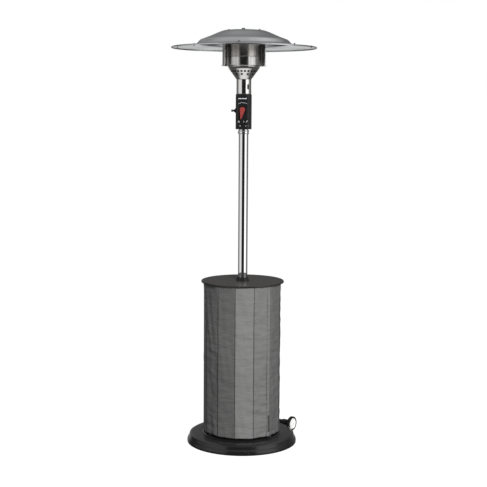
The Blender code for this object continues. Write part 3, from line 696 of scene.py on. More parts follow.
def make_cloth():
    """The panelled cloth wall, closed round the heater."""
    columns = []
    for panel in range(PANELS):
        start = place(SEAM_BEARING + PANEL_TURN * panel, SEAM_RADIUS)
        end = place(SEAM_BEARING + PANEL_TURN * (panel + 1), SEAM_RADIUS)
        spots = list(ACROSS) + [1 - t for t in ACROSS[-2:0:-1]]
        for across in spots:
            outwards = ((start + end) / 2).normalized()
            seam_side = start.normalized() if across < 0.5 else end.normalized()
            blend = max(0.0, 1 - min(across, 1 - across) / 0.04)
            facing = outwards.lerp(seam_side, blend).normalized()
            columns.append((panel, across, start.lerp(end, across), facing))
    shape = bmesh.new()
    grid = []
    for panel, across, spot, facing in columns:
        column = []
        for row in range(ROWS + 1):
            height = COVER_LOW + (COVER_HIGH - COVER_LOW) * row / ROWS
            out = cloth_offset(panel, across, height) - 0.0012
            point = spot + facing * out
            column.append(shape.verts.new((point.x, point.y, height)))
        grid.append(column)
    for i, left in enumerate(grid):
        right = grid[(i + 1) % len(grid)]
        for row in range(ROWS):
            shape.faces.new((left[row], right[row], right[row + 1], left[row + 1]))
    cloth = piece_from(shape, "cloth_wall", "cloth", "cover", 60.0, ("fabric_cover",))
    wall = cloth.modifiers.new("cloth_thickness", "SOLIDIFY")
    wall.thickness = 0.001
    wall.offset = -1.0
    apply_modifiers(cloth)
    return cloth


def panel_point(bearing, height, out):
    """A point on a flat panel's face at a bearing, standing out by some distance."""
    step = (bearing - SEAM_BEARING) % PANEL_TURN - PANEL_TURN / 2
    apothem = SEAM_RADIUS * cos(radians(PANEL_TURN / 2)) + out
    return place(bearing, apothem / cos(radians(step)), height)


def make_closing_strip():
    """The overlap that closes the cloth: a stitched strip beside a seam with a tab at its foot."""
    first = SEAM_BEARING + 2 * PANEL_TURN - 5.6
    shape = bmesh.new()
    stations = []
    for height in spread(COVER_LOW + 0.002, COVER_HIGH - 0.004, 96):
        wave = 0.0007 * noise.noise(Vector((3.0, 1.0, 21.0 * height)))
        ring = []
        for bearing, out in ((first, 0.0024), (first + 0.25, 0.0041), (first + 2.2, 0.0044),
                             (first + 4.3, 0.004), (first + 4.6, 0.0022)):
            ring.append(shape.verts.new(panel_point(bearing, height, out + wave)))
        for bearing in (first + 4.5, first + 0.1):
            ring.append(shape.verts.new(panel_point(bearing, height, 0.0004)))
        stations.append(ring)
    join_rings(shape, stations)
    strip = piece_from(shape, "closing_strip", "cloth", "cover", 40.0)
    middle = first + 3.2
    shape = bmesh.new()
    rings = []
    for height in spread(COVER_LOW + 0.024, COVER_LOW + 0.112, 8):
        ring = [shape.verts.new(panel_point(middle + side, height, out))
                for side, out in ((-1.7, 0.0046), (-1.4, 0.0062), (1.4, 0.0062), (1.7, 0.0046))]
        rings.append(ring)
    join_rings(shape, rings)
    tab = piece_from(shape, "closing_tab", "thread", "cover", 40.0)
    return [strip, tab]


def make_cover():
    """Cloth wall with its closing strip, hung from the lid over two wire hoops."""
    cloth = make_cloth()
    flaps = make_closing_strip()
    levels = spread(COVER_LOW + 0.002, COVER_HIGH - 0.002, 24)
    # a dark wire sunk in each seam's crease: a painted shade of the crease
    for number in range(PANELS):
        bearing = SEAM_BEARING + PANEL_TURN * number
        seam = [place(bearing, SEAM_RADIUS - 0.0021, height) for height in levels]
        flaps.append(sweep_tube(f"seam_shade_piping_{number + 1}", seam, 0.0016, "seam", "cover", 8))
    for name, wire in (("hoop_bottom", 0.004), ("hoop_top", 0.003)):
        stands_for = f"cover_{name}"
        height = sum(heights(stands_for)) / 2
        ring = [place(2.5 * k, HOOP_RADIUS, height) for k in range(144)]
        sweep_tube(name, ring, wire, "enamel", "cover", 12, True, (stands_for,))


def make_lid():
    """Pressed lid with a rolled lip, and the moulded collar round the pole."""
    radius = high_of("lid").x
    lip, top = heights("lid")
    lid = [
        (0.0272, top), (0.06, top, 0.002), (0.064, top - 0.0006, 0.002), (0.198, top - 0.0008, 0.004),
        (0.206, top, 0.004), (radius - 0.001, top, 0.003), (radius, top - 0.004, 0.002),
        (radius - 0.0005, lip, 0.0004), (radius - 0.0018, lip, 0.0004),
        (radius - 0.0022, top - 0.003, 0.001), (0.2, top - 0.0021, 0.003), (0.0272, top - 0.0018),
    ]
    turned("lid_pressed", lid, "lid", "cover", stands_for=("lid",), steps=192)
    rolled = [
        (radius + 0.0002, top - 0.0022, 0.0008), (radius + 0.0007, top - 0.004, 0.001),
        (radius + 0.0007, lip + 0.001, 0.001), (radius - 0.0002, lip - 0.0006, 0.0006),
        (radius - 0.0016, lip - 0.0004, 0.0004), (radius - 0.0012, top - 0.003, 0.0004),
    ]
    # the rolled lip takes the darker copy of the lid's enamel, a painted shade
    turned("lid_lip", rolled, "lip", "cover", steps=192)
    seat, crown = heights("lid_collar")
    turned(
        "lid_collar_moulded",
        [(0.0265, crown, 0.0006), (0.0295, crown, 0.001), (0.0305, seat + 0.0075, 0.003),
         (0.034, seat + 0.005, 0.0025), (0.035, seat, 0.0004), (0.0275, seat), (0.0265, seat + 0.004)],
        "plastic", "cover", steps=96, stands_for=("lid_collar",),
    )


# ---------------------------------------------------------------- pole


def make_pole():
    """Chromed tube, and a clamp with three screws under the control box."""
    radius = high_of("pole").x
    low, high = heights("pole")
    turned(
        "pole_chromed",
        [(radius, high, 0.0005), (radius, low, 0.0005), (radius - 0.0015, low),
         (radius - 0.0015, high)],
        "chrome", steps=128, stands_for=("pole",),
    )
    low, high = heights("pole_clamp")
    turned(
        "pole_clamp_ring",
        [(0.0285, high, 0.001), (0.029, high - 0.004, 0.001), (0.0276, high - 0.0065, 0.001),
         (0.0276, low + 0.004, 0.001), (0.029, low + 0.002, 0.001), (0.0282, low, 0.001), (0.0253, low),
         (0.0253, high)],
        "chrome", steps=96, stands_for=("pole_clamp",),
    )
    for number, bearing in enumerate((-62.0, 58.0, 178.0), 1):
        head(f"clamp_screw_{number}", "clamp screw", place(bearing, 0.0272, low + 0.0085),
             place(bearing, 1.0))


# ---------------------------------------------------------------- control box

BOX_LOW, BOX_HIGH = heights("control_housing_front")
HALF_WIDTH = high_of("control_housing_front").x
FRONT_FACE = low_of("control_housing_front").y
BACK_FACE = high_of("control_housing_back").y
FRONT_CORNER = 0.022
BACK_CORNER = 0.014


def box_outline(half_width, tip, corner, seam, steps=14):
    """Half of the control box's outline, from the seam round both corners at the tip."""
    way = 1 if tip > seam else -1
    right = arc((half_width - corner, tip - way * corner), corner, 0, way * pi / 2, steps)
    left = [(-x, y) for x, y in right[::-1]]
    return [(half_width, seam)] + right + left + [(-half_width, seam)]


def make_shell(name, node, tip, corner, seam):
    """One shell of the control box, hollow and open to the other shell."""
    way = 1 if tip > seam else -1
    outline = box_outline(HALF_WIDTH, tip, corner, seam)
    shell = piece_from(slab_shape(outline, BOX_LOW, BOX_HIGH, 0.0016), name, "plastic",
                       stands_for=(node,))
    wall = 0.0022
    inner = box_outline(HALF_WIDTH - wall, tip - way * wall, corner - wall, seam - way * 0.005)
    cut_with(shell, slab_shape(inner, BOX_LOW + wall, BOX_HIGH - wall))
    for height, radius in ((BOX_LOW, 0.0253), (BOX_HIGH, 0.014)):
        drill(shell, (0, 0, height), (0, 0, 1), radius, 0.008, 64)
    return shell


def drill(shell, centre, direction, radius, reach=0.006, steps=40):
    """A round hole through a shell's wall, cut to some reach on both sides of its centre."""
    profile = [(0, reach), (radius, reach), (radius, -reach), (0, -reach)]
    cut_with(shell, turned_shape(bmesh.new(), profile, False, steps, matrix=aimed(centre, direction)))


def face_y(x):
    """Where the front shell's surface lies along Y at a distance x from its middle."""
    past = abs(x) - (HALF_WIDTH - FRONT_CORNER)
    if past <= 0:
        return FRONT_FACE
    return FRONT_FACE + FRONT_CORNER - sqrt(max(FRONT_CORNER ** 2 - past ** 2, 0.0))


def ink_stroke(shape, points, width, closed=False):
    """A thin raised line of paint along points (x, height above the knob's centre) on the front."""
    lift = 0.00022
    count = len(points)
    rings = []
    for i, (x, z) in enumerate(points):
        ahead = Vector(points[(i + 1) % count] if closed or i < count - 1 else points[i])
        behind = Vector(points[i - 1] if closed or i > 0 else points[i])
        along = (ahead - behind).normalized()
        side = Vector((-along.y, along.x)) * width / 2
        ring = []
        for sign, out in ((-1, -0.0001), (-1, lift), (1, lift), (1, -0.0001)):
            px, pz = x + sign * side.x, z + sign * side.y
            ring.append(shape.verts.new((px, face_y(px) - out, CONTROL_HEIGHT + pz)))
        rings.append(ring)
    join_rings(shape, rings, closed)


def arc_points(radius, first, last, steps, middle=(0.0, 0.0)):
    """Points on an arc, with angles in degrees from straight up, clockwise."""
    return arc(middle, radius, radians(90 - first), radians(90 - last), steps)


def make_dial_marks():
    """Generic dial marks: a bar at the top, an arc over the knob and simple signs under it."""
    shape = bmesh.new()
    ink_stroke(shape, [(x / 1000, 0.0568) for x in range(-24, 21, 2)], 0.0042)
    ink_stroke(shape, arc_points(0.037, -38, 24, 20, (0.0, -0.0008)), 0.0013)
    ink_stroke(shape, arc_points(0.0011, 0, 330, 11, (0.018, 0.031)), 0.002, True)
    for x, z, tall in ((-0.0245, -0.062, 0.007), (-0.018, -0.063, 0.008), (0.0055, -0.063, 0.008)):
        ink_stroke(shape, [(x, z - tall / 2), (x + 0.0006, z), (x, z + tall / 2)], 0.0018)
    ink_stroke(shape, arc_points(0.0036, 0, 330, 11, (-0.0215, -0.0625)), 0.001, True)
    ink_stroke(shape, arc_points(0.0026, 0, 330, 11, (0.0225, -0.059)), 0.001, True)
    ink_stroke(shape, [(0.018, -0.066), (0.0225, -0.0625)], 0.0013)
    for x in (-0.016, -0.012, 0.016, 0.027):
        ink_stroke(shape, [(x, -0.086), (x + 0.0008, -0.082)], 0.0015)
    piece_from(shape, "dial_marks", "ink", "heater", 40.0)


def make_control_box():
    """Two moulded shells with their screws, the dial marks, and what stands round the controls."""
    front = make_shell("control_shell_front", "control_housing_front", FRONT_FACE, FRONT_CORNER,
                       BOX_SEAM)
    make_shell("control_shell_back", "control_housing_back", BACK_FACE, BACK_CORNER, BOX_SEAM + GAP)
    drill(front, (0, FRONT_FACE, CONTROL_HEIGHT), (0, 1, 0), 0.0065)
    drill(front, (-HALF_WIDTH, *IGNITER[1:]), (1, 0, 0), 0.006)
    make_dial_marks()
    make_bezel()
    make_igniter()
    corners = ((-0.0224, 0.03), (0.0224, 0.03), (-0.0224, 0.15), (0.0224, 0.15))
    for number, (x, height) in enumerate(corners, 1):
        head(f"box_screw_{number}", "screw", (x, BACK_FACE - 0.00005, BOX_LOW + height), (0, 1, 0))


def make_bezel():
    """The stepped ring round the knob's spindle."""
    low = -FRONT_FACE
    turned(
        "knob_bezel_ring",
        [(0.0158, low + 0.0088, 0.0006), (0.0176, low + 0.0092, 0.0008), (0.0185, low + 0.007, 0.001),
         (0.0196, low + 0.0022, 0.002), (0.0212, low + GAP, 0.0003), (0.0158, low + GAP)],
        "plastic", steps=96, axis=(0, -1, 0), at=(0, 0, CONTROL_HEIGHT),
        stands_for=("knob_bezel",),
    )


def make_igniter():
    """The boot on the box's side and the button that slides in it."""
    start = HALF_WIDTH + GAP
    turned(
        "igniter_boot_cone",
        [(0.0048, start + 0.0118), (0.0048, start), (0.016, start, 0.0006),
         (0.0135, start + 0.0024, 0.002), (0.008, start + 0.006, 0.003),
         (0.0068, start + 0.0114, 0.001), (0.0052, start + 0.0118, 0.0006)],
        "plastic", steps=64, axis=(-1, 0, 0), at=IGNITER, stands_for=("igniter_boot",),
    )
    stem = -low_of("igniter_button").x
    turned(
        "igniter_button_cap",
        [(0.0, stem), (0.0054, stem - 0.0002, 0.002), (0.0062, stem - 0.003, 0.002),
         (0.0062, stem - 0.007, 0.001), (0.0044, stem - 0.008, 0.001), (0.0044, 0.034), (0.0, 0.034)],
        "plastic", "igniter_button", steps=48, axis=(-1, 0, 0), at=IGNITER,
        stands_for=("igniter_button",),
    )


def drop_outline(radius, tip_radius, reach, lean, steps=40):
    """A circle drawn out to a small round tip, leaning left of straight down."""
    distance = reach - tip_radius
    heading = radians(-90 - lean)
    touch = acos((radius - tip_radius) / distance)
    tip = Vector((cos(heading), sin(heading))) * distance
    body = arc((0, 0), radius, heading + touch, heading + tau - touch, steps)
    return body + arc(tip, tip_radius, heading - touch, heading + touch, 8)


def make_knob():
    """Dial with its spindle, in a darker red that paints the knob's shaded side, and the red drop-shaped
    grip in front of it.
    """
    to_front = Matrix.Translation((0, 0, CONTROL_HEIGHT)) @ Matrix.Rotation(pi / 2, 4, "X")
    turned(
        "knob_dial",
        [(0.0, 0.0668), (0.0132, 0.0668, 0.001), (0.0139, 0.064, 0.001), (0.0139, 0.0575, 0.001),
         (0.004, 0.057), (0.004, 0.0105, 0.0005), (0.0, 0.01)],
        "shaded_red", "knob", steps=96, axis=(0, -1, 0), at=(0, 0, CONTROL_HEIGHT),
        stands_for=("knob",),
    )
    grip = drop_outline(0.0134, 0.003, 0.0513, 9.5)
    shape = slab_shape(grip, 0.0655, 0.0772, 0.003, 5, to_front)
    piece_from(shape, "knob_grip", "red", "knob", 50.0)
    ridge = drop_outline(0.0046, 0.0016, 0.0455, 9.5)
    shape = slab_shape(ridge, 0.077, 0.0779, 0.0006, 3, to_front)
    piece_from(shape, "knob_ridge", "red", "knob", 50.0)


# ---------------------------------------------------------------- burner


SLOT_HEIGHT = 1.876
SLOT_BEARING = 40.0
SLOT_SIZE = (0.005, 0.014)         # half its width and half its height


def make_burner_tube():
    """Bright tube on the control box with a rolled foot and a tall slot for air."""
    radius = 0.0385
    low, high = heights("burner_tube")
    tube = turned(
        "burner_tube_bright",
        [(radius, high, 0.0004), (radius, low + 0.004, 0.001), (radius + 0.0012, low + 0.002, 0.001),
         (radius + 0.0006, low, 0.0006), (0.02, low), (0.02, low + 0.0015),
         (radius - 0.0014, low + 0.0015, 0.001), (radius - 0.0014, high)],
        "bright", steps=128, stands_for=("burner_tube",),
    )
    half, tall = SLOT_SIZE
    outline = arc((0, tall - half), half, 0, pi, 12) + arc((0, half - tall), half, pi, tau, 12)
    upright = turn_z(SLOT_BEARING) @ Matrix.Rotation(pi / 2, 4, "X")
    aim = Matrix.Translation((0, 0, SLOT_HEIGHT)) @ upright
    cut_with(tube, slab_shape(outline, 0.028, 0.046, matrix=aim))
    smooth_piece(tube)
    # a dark liner behind the slot: a painted shade of the tube's inside
    lower, upper = SLOT_HEIGHT - 0.024, SLOT_HEIGHT + 0.024
    shade_liner = [(radius - 0.003, upper), (radius - 0.003, lower), (radius - 0.004, lower),
             (radius - 0.004, upper)]
    turned("tube_shade_liner", shade_liner, "dark", steps=96)
    # three rivets that hold the tube's foot
    for number, bearing in enumerate((-35.0, 95.0, 205.0), 1):
        head(f"tube_rivet_{number}", "tube rivet", place(bearing, radius - 0.0001, low + 0.01),
             place(bearing, 1.0), "bright")


FUNNEL = ((0.0832, 1.982), (0.0832, 1.9795), (0.079, 1.969), (0.063, 1.948), (0.05, 1.929),
          (0.0398, 1.916), (0.039, 1.9143))
# rows of holes: how many, the wall's distance from the axis, height and radius
FUNNEL_ROWS = ((24, 0.066, 1.9575, 0.0063), (12, 0.056, 1.942, 0.006))


def make_funnel():
    """Perforated funnel: two rows of punched holes with slightly sunk rims."""
    outer = [(r, z, 0.004 if 0.04 < r < 0.083 else 0.0008) for r, z in FUNNEL]
    inner = [(r - 0.0014, z, 0.003 if 0.04 < r < 0.083 else 0.0) for r, z in FUNNEL[::-1]]
    funnel = turned("burner_funnel_perforated", outer + inner, "bright",
                    stands_for=("burner_funnel",))
    holes = bmesh.new()
    for count, wall, height, radius in FUNNEL_ROWS:
        for number in range(count):
            bearing = -5.0 + 360.0 / count * number
            aim = aimed(place(bearing, wall, height), place(bearing, 0.8, -0.6))
            bmesh.ops.create_cone(holes, cap_ends=True, segments=18, radius1=radius, radius2=radius,
                                  depth=0.02, matrix=aim)
    cut_with(funnel, holes)
    smooth_piece(funnel)
    # dark liner seen through the holes: a painted shade of the funnel's inside
    shade_liner = [(r - 0.004, z, 0.0) for r, z in FUNNEL[2:5]]
    shade_liner += [(r - 0.0052, z, 0.0) for r, z in FUNNEL[4:1:-1]]
    turned("funnel_shade_liner", shade_liner, "dark", steps=96)


def make_emitter():
    """Bright lower ring, finely perforated band above it and a pressed cap."""
    radius = 0.088
    low, seam = heights("emitter_ring")
    turned(
        "emitter_ring_bright",
        [(radius - 0.0004, seam, 0.0004), (radius, seam - 0.0012, 0.0006),
         (radius, low + 0.003, 0.0015), (radius - 0.0025, low, 0.0015), (0.074, low),
         (0.074, low + 0.0014), (radius - 0.004, low + 0.0014, 0.001),
         (radius - 0.0014, low + 0.004, 0.001), (radius - 0.0014, seam)],
        "ring", stands_for=("emitter_ring",),
    )
    low, top = heights("emitter_mesh")
    edge = radius - 0.0005
    turned(
        "emitter_band",
        [(edge, top, 0.0004), (edge + 0.0004, top - 0.006, 0.001), (edge - 0.0002, top - 0.0075, 0.001),
         (edge - 0.0002, low + 0.005, 0.001), (edge + 0.0004, low + 0.0035, 0.001), (edge, low, 0.0004),
         (edge - 0.0012, low), (edge - 0.0012, top)],
        "emitter", stands_for=("emitter_mesh",),
    )
    base, crown = heights("emitter_cap")
    turned(
        "emitter_cap_pressed",
        [(0.0, crown), (radius - 0.004, crown, 0.0015), (radius, crown - 0.0014, 0.001),
         (radius, base, 0.0004), (0.0, base)],
        "steel", stands_for=("emitter_cap",),
    )


SHIELD_OPENING = (-56.0, 83.0)       # bearings of the wind shield's two upright edges
SHIELD_RING = 0.018                  # height of the closed ring at its top


def make_wind_shield():
    """Steel shell open to the front, with a flared foot and folded edges."""
    radius = 0.112
    low, high = heights("wind_shield")
    shell = turned(
        "wind_shield_shell",
        [(radius, high - 0.0002, 0.0006), (radius, low + 0.0055, 0.002), (0.1165, low + 0.0012, 0.001),
         (0.1165, low, 0.0003), (radius - 0.0006, low + 0.0045, 0.002),
         (radius - 0.001, low + 0.006, 0.001), (radius - 0.001, high - 0.0002, 0.0006)],
        "shield", steps=180, stands_for=("wind_shield",),
    )
    start, end = SHIELD_OPENING
    outline = [(0.0, 0.0)] + [place(bearing, 0.14).xy[:] for bearing in spread(start, end, 24)]
    cut_with(shell, slab_shape(outline, low - 0.004, high - SHIELD_RING))
    smooth_piece(shell)
    for number, bearing in enumerate(SHIELD_OPENING, 1):
        rail = [place(bearing, radius - 0.0005, height)
                for height in spread(low + 0.006, high - SHIELD_RING, 6)]
        sweep_tube(f"shield_fold_{number}", rail, 0.0013, "shield", "heater", 10)
    seat = low_of("shield_bracket_1").z
    for number, bearing in enumerate((45.0, 165.0, 285.0), 1):
        shape = block_shape((-0.007, -0.1102, seat), (0.007, -0.06, seat + 0.002), 0.0006, 2,
                            turn_z(bearing))
        piece_from(shape, f"shield_bar_{number}", "steel",
                   stands_for=(f"shield_bracket_{number}",))
        head(f"bar_rivet_{number}", "bar rivet", place(bearing, 0.072, seat + 0.0019), (0, 0, 1))


# ---------------------------------------------------------------- reflector

RIM = 2.079
DISH = ((0.012, 0.0884), (0.085, 0.0881), (0.105, 0.0861), (0.129, 0.0781), (0.155, 0.0668),
        (0.181, 0.0554), (0.207, 0.0457), (0.2265, 0.0383), (0.2335, 0.0318), (0.2455, 0.0184),
        (0.262, 0.0135), (0.316, 0.007), (0.375, 0.0015), (0.3767, -0.0004), (0.3767, -0.0048))
DISH_SHEET = 0.0011
# section of the folded edge over a seam: distances along the rim and above the dish
FOLD = ((-0.0032, -0.0001), (-0.003, 0.0007), (0.0002, 0.0009), (0.0004, -0.0001))


def dish_height(radius):
    """Height of the dish's upper face at a distance from the axis."""
    for (r1, z1), (r2, z2) in zip(DISH, DISH[1:]):
        if r1 <= radius <= r2 and r2 > r1:
            return RIM + z1 + (z2 - z1) * (radius - r1) / (r2 - r1)
    return RIM + DISH[0][1]


def make_reflector():
    """Four pressed segments, meeting in radial seams with a shallow folded edge."""
    outer = [(r, RIM + z, 0.01 if 0.02 < r < 0.37 else 0.0004) for r, z in DISH]
    inner = [(r, RIM + z - DISH_SHEET, 0.01) for r, z in DISH[:-3]][::-1]
    lip = [(0.3756, RIM - 0.0048, 0.0003), (0.3756, RIM - 0.0002, 0.0006)]
    profile = rounded(outer + lip + inner, True, 5)
    gap_angle = 0.1
    for number in range(4):
        shape = turned_shape(bmesh.new(), profile, True, 60, radians(90 - gap_angle),
                             radians(90 * number + gap_angle / 2))
        piece_from(shape, f"dish_segment_{number + 1}", "reflector", "heater", 28.0,
                   (f"reflector_segment_{number + 1}",))
    for number in range(4):
        bearing = 90.0 * number
        shape = bmesh.new()
        rings = []
        for radius in spread(0.016, 0.3745, 60):
            height = dish_height(radius)
            ring = []
            for side, lift in FOLD:
                point = turn_z(bearing) @ Vector((side, -radius, height + lift))
                ring.append(shape.verts.new(point))
            rings.append(ring)
        join_rings(shape, rings)
        piece_from(shape, f"seam_fold_{number + 1}", "reflector", "heater", 30.0)


def fastener_shape(shape, spot, low, face, nut, tall, shank=0.003):
    """A threaded shank from low up, a washer on face and a domed six-sided nut."""
    def ring_at(radius, height, sides):
        return [shape.verts.new((spot.x + radius * cos(tau * k / sides),
                                 spot.y + radius * sin(tau * k / sides), height))
                for k in range(sides)]

    def stack(levels, sides):
        join_rings(shape, [ring_at(radius, height, sides) for radius, height in levels])

    stack([(shank, low), (shank, face)], 16)
    stack([(nut * 1.25, face + 0.0001), (nut * 1.25, face + 0.0011)], 28)
    stack([(nut, face + 0.0012), (nut, face + 0.0012 + 0.55 * tall)], 6)
    dome = []
    for k in range(6):
        angle = pi / 2 * k / 6
        dome.append((nut * 0.84 * cos(angle), face + 0.0012 + tall * (0.55 + 0.45 * sin(angle))))
    stack(dome, 20)


# where each row of nuts lies along a seam: distance from the axis, half width and height
NUTS = (("inner", 0.08, 0.005, 0.0046), ("middle", 0.261, 0.0052, 0.0075),
        ("rim", 0.348, 0.0042, 0.0046))


def make_fasteners():
    """Nuts along the seams and the dark nut at the middle."""
    cap_top = high_of("emitter_cap").z + GAP
    for number in range(4):
        bearing = 90.0 * number
        for label, radius, nut, tall in NUTS:
            face = dish_height(radius) + 0.0008
            low = cap_top if label == "inner" else face - 0.007
            shape = bmesh.new()
            fastener_shape(shape, place(bearing, radius), low, face, nut, tall)
            stands_for = (f"reflector_bolt_{number + 1}",) if label == "inner" else ()
            piece_from(shape, f"{label}_nut_{number + 1}", "zinc", "heater", 30.0, stands_for)
    face, top = heights("centre_nut")
    shape = bmesh.new()
    fastener_shape(shape, Vector((0, 0, 0)), face - 0.006, face, 0.0054, top - face - 0.0013)
    piece_from(shape, "centre_cap_nut", "enamel", "heater", 30.0, ("centre_nut",))


# ---------------------------------------------------------------- wheels

AXLE = "wheel_axle"
TYRE_RADIUS = 0.0385
TYRE_HALF = 0.01
HUB_RADIUS = 0.0294
WHEEL_BEARING = 151.0


def axle_frame():
    """The middle of the axle and the direction along it, towards the first wheel."""
    joints = {joint["name"]: joint for joint in frame["joints"]}
    first = Vector(joints["wheel_1_roll"]["pos_m"])
    second = Vector(joints["wheel_2_roll"]["pos_m"])
    return (first + second) / 2, (first - second).normalized(), (first - second).length / 2


def hub_face(half):
    """Outline of a hub from its bore's outer end to the back: cap seat, dished web and raised rim."""
    return [
        (0.0046, half - 0.0012, 0.0003), (0.0085, half - 0.0012, 0.0006),
        (0.0092, half - 0.0032, 0.0008), (0.015, half - 0.0036, 0.002), (0.0215, half - 0.003, 0.002),
        (0.0248, half - 0.0012, 0.001), (0.0275, half - 0.0008, 0.0008),
        (HUB_RADIUS, half - 0.003, 0.0012),
    ]


def make_wheel(number, spot, outwards):
    """Grooved rubber tyre on a pale moulded hub with six ribs and six round dimples."""
    body = f"wheel_{number}"
    rim, half = TYRE_RADIUS, TYRE_HALF
    tread = [(rim - 0.005, half - 0.0004, 0.0012), (rim - 0.0012, half - 0.0014, 0.002),
             (rim, half - 0.004, 0.002)]
    for side in (0.0032, -0.0032):
        tread += [(rim, side + 0.0008, 0.0003), (rim - 0.0012, side + 0.0004, 0.0003),
                  (rim - 0.0012, side - 0.0004, 0.0003), (rim, side - 0.0008, 0.0003)]
    tread += [(rim, -half + 0.004, 0.002), (rim - 0.0012, -half + 0.0014, 0.002),
              (rim - 0.005, -half + 0.0004, 0.0012)]
    bore = HUB_RADIUS + GAP
    bead = [(bore, -half + 0.0012, 0.0006), (bore, half - 0.0026, 0.0004),
            (bore + 0.0016, half - 0.0006, 0.0006)]
    turned(f"tyre_{number}", tread + bead, "rubber", body, steps=96, axis=outwards, at=spot,
           stands_for=(f"wheel_{number}_tyre",))
    front = hub_face(half)
    back = [(r, -z, edge) for r, z, edge in front[::-1]]
    hub = turned(f"hub_{number}", front + back, "pale", body, steps=96, axis=outwards, at=spot,
                 stands_for=(f"wheel_{number}_hub",))
    aim = aimed(spot, outwards)
    dimples = bmesh.new()
    for k in range(6):
        for way in (1, -1):
            out = Matrix.Translation((0.0185, 0, way * (half - 0.0026)))
            centre = Matrix.Rotation(tau * k / 6, 4, "Z") @ out
            bmesh.ops.create_cone(dimples, cap_ends=True, segments=28, radius1=0.004, radius2=0.004,
                                  depth=0.0032, matrix=aim @ centre)
    cut_with(hub, dimples)
    smooth_piece(hub)
    for k in range(6):
        turn = Matrix.Rotation(tau * (k + 0.5) / 6, 4, "Z")
        rib = block_shape((0.0096, -0.0008, half - 0.0048), (0.0242, 0.0008, half - 0.0018), 0.0004, 2,
                          aim @ turn)
        piece_from(rib, f"hub_{number}_rib_{k + 1}", "pale", body)


def make_wheels():
    """Two wheels and what carries them."""
    middle, across, half_track = axle_frame()
    for number, side in ((1, 1), (2, -1)):
        make_wheel(number, middle + across * half_track * side, across * side)
    make_axle(middle, across, half_track)
    make_bracket(middle, across)


def make_axle(middle, across, half_track):
    """The rod through both wheels, with a pressed cap over each end."""
    reach = (high_of(AXLE) - low_of(AXLE)).xy.length / 2 - 0.0035
    turned(
        "axle_rod",
        [(0.0, reach), (0.0034, reach, 0.0008), (0.0039, reach - 0.001, 0.0008),
         (0.0039, -reach + 0.001, 0.0008), (0.0034, -reach, 0.0008), (0.0, -reach)],
        "zinc", steps=32, axis=across, at=middle, stands_for=(AXLE,),
    )
    for number, side in ((1, 1), (2, -1)):
        face = half_track + TYRE_HALF - 0.0008
        turned(
            f"axle_cap_{number}",
            [(0.0, face + 0.0038), (0.004, face + 0.0034, 0.002), (0.007, face + 0.0016, 0.002),
             (0.0074, face, 0.0004), (0.0042, face), (0.0042, face + 0.0008), (0.0, face + 0.0008)],
            "pale", steps=48, axis=across * side, at=middle,
        )


def make_bracket(middle, across):
    """The sleeve round the axle, its two wider ends, and the plate with the saddles that hold it."""
    half, tube = 0.111, 0.013
    turned(
        "axle_sleeve",
        [(tube - 0.0012, half, 0.001), (tube, half - 0.002, 0.001), (tube, -half + 0.002, 0.001),
         (tube - 0.0012, -half, 0.001), (0.0043, -half), (0.0043, half)],
        "plastic", steps=64, axis=across, at=middle, stands_for=("wheel_bracket",),
    )
    for number, side in ((1, 1), (2, -1)):
        turned(
            f"sleeve_end_{number}",
            [(0.0136, half - 0.042, 0.001), (0.0172, half - 0.039, 0.002), (0.0175, half - 0.002, 0.0015),
             (0.016, half - 0.0002, 0.001), (0.0118, half - 0.0002), (0.0118, half - 0.042)],
            "plastic", steps=64, axis=across * side, at=middle,
        )
    plate_low = low_of("wheel_bracket").z
    turn = turn_z(WHEEL_BEARING)
    plate = block_shape((-0.07, -0.3, plate_low), (0.07, -0.208, plate_low + 0.003), 0.0012, 3, turn)
    piece_from(plate, "bracket_plate", "plastic")
    upright = Matrix((place(WHEEL_BEARING, 1.0), (0, 0, 1), across)).transposed().to_4x4()
    centre, strap = Vector((middle.xy.length, middle.z)), tube + 0.0028
    for number, offset in enumerate((-0.048, 0.048), 1):
        outline = [(centre.x + strap, plate_low + 0.0002), (centre.x - strap, plate_low + 0.0002)]
        outline += arc(centre, strap, pi, tau, 20)
        shape = slab_shape(outline, offset - 0.012, offset + 0.012, 0.0008, 3, upright)
        piece_from(shape, f"sleeve_saddle_{number}", "plastic", "heater", 40.0)
        spot = turn @ Vector((offset * 0.5, -0.236, plate_low + 0.0029))
        head(f"bracket_bolt_{number}", "bolt", spot, (0, 0, 1))


# ---------------------------------------------------------------- parts that keep their CAD shape

KEPT = {
    "iron": ("base_ballast",),
    "zinc": ("support_post_1", "support_post_2", "support_post_3", "post_plate", "pole_flange",
             "thermocouple", "spark_electrode"),
    "brass": ("gas_pipe", "hose_nipple", "gas_valve", "valve_plug", "injector_pipe"),
    "plastic": ("piezo_igniter", "tilt_switch"),
    "steel": ("burner_head",),
    "reflector": ("reflector_hub",),
}


# ---------------------------------------------------------------- studio

CAMERA_BEARING = 5.5
CAMERA_DISTANCE = 5.9
CAMERA_HEIGHT = 1.74
CAMERA_PITCH = 5.235         # degrees down
CAMERA_ROLL = 0.37
CAMERA_LENS = 83.5
CAMERA_SHIFT = -0.055


def make_floor():
    """A pale floor that glows a little, so it stays even, and still takes a soft contact shadow."""
    shape = bmesh.new()
    bmesh.ops.create_grid(shape, x_segments=2, y_segments=2, size=40.0)
    floor = object_from(shape, "floor")
    look = Look("floor_pale", (0.3, 0.3, 0.3), 0.9, Specular_IOR_Level=0.0)
    distance = look.around()[1]
    cloud = look.noise(0.8, 3.0)
    near = look.mix(look.remap(cloud, 0.3, 0.7), 0.09, 0.1)
    far = look.remap(distance, 0.8, 3.0)
    look.colour(look.mix(far, near, 0.02))
    look.shader.inputs["Emission Color"].default_value = (1.0, 1.0, 1.0, 1.0)
    look.tree.links.new(look.remap(far, 0.0, 1.0, 0.97, 1.0), look.shader.inputs["Emission Strength"])
    floor.data.materials.append(look.material)
    floor.visible_diffuse = False
    floor.visible_glossy = False


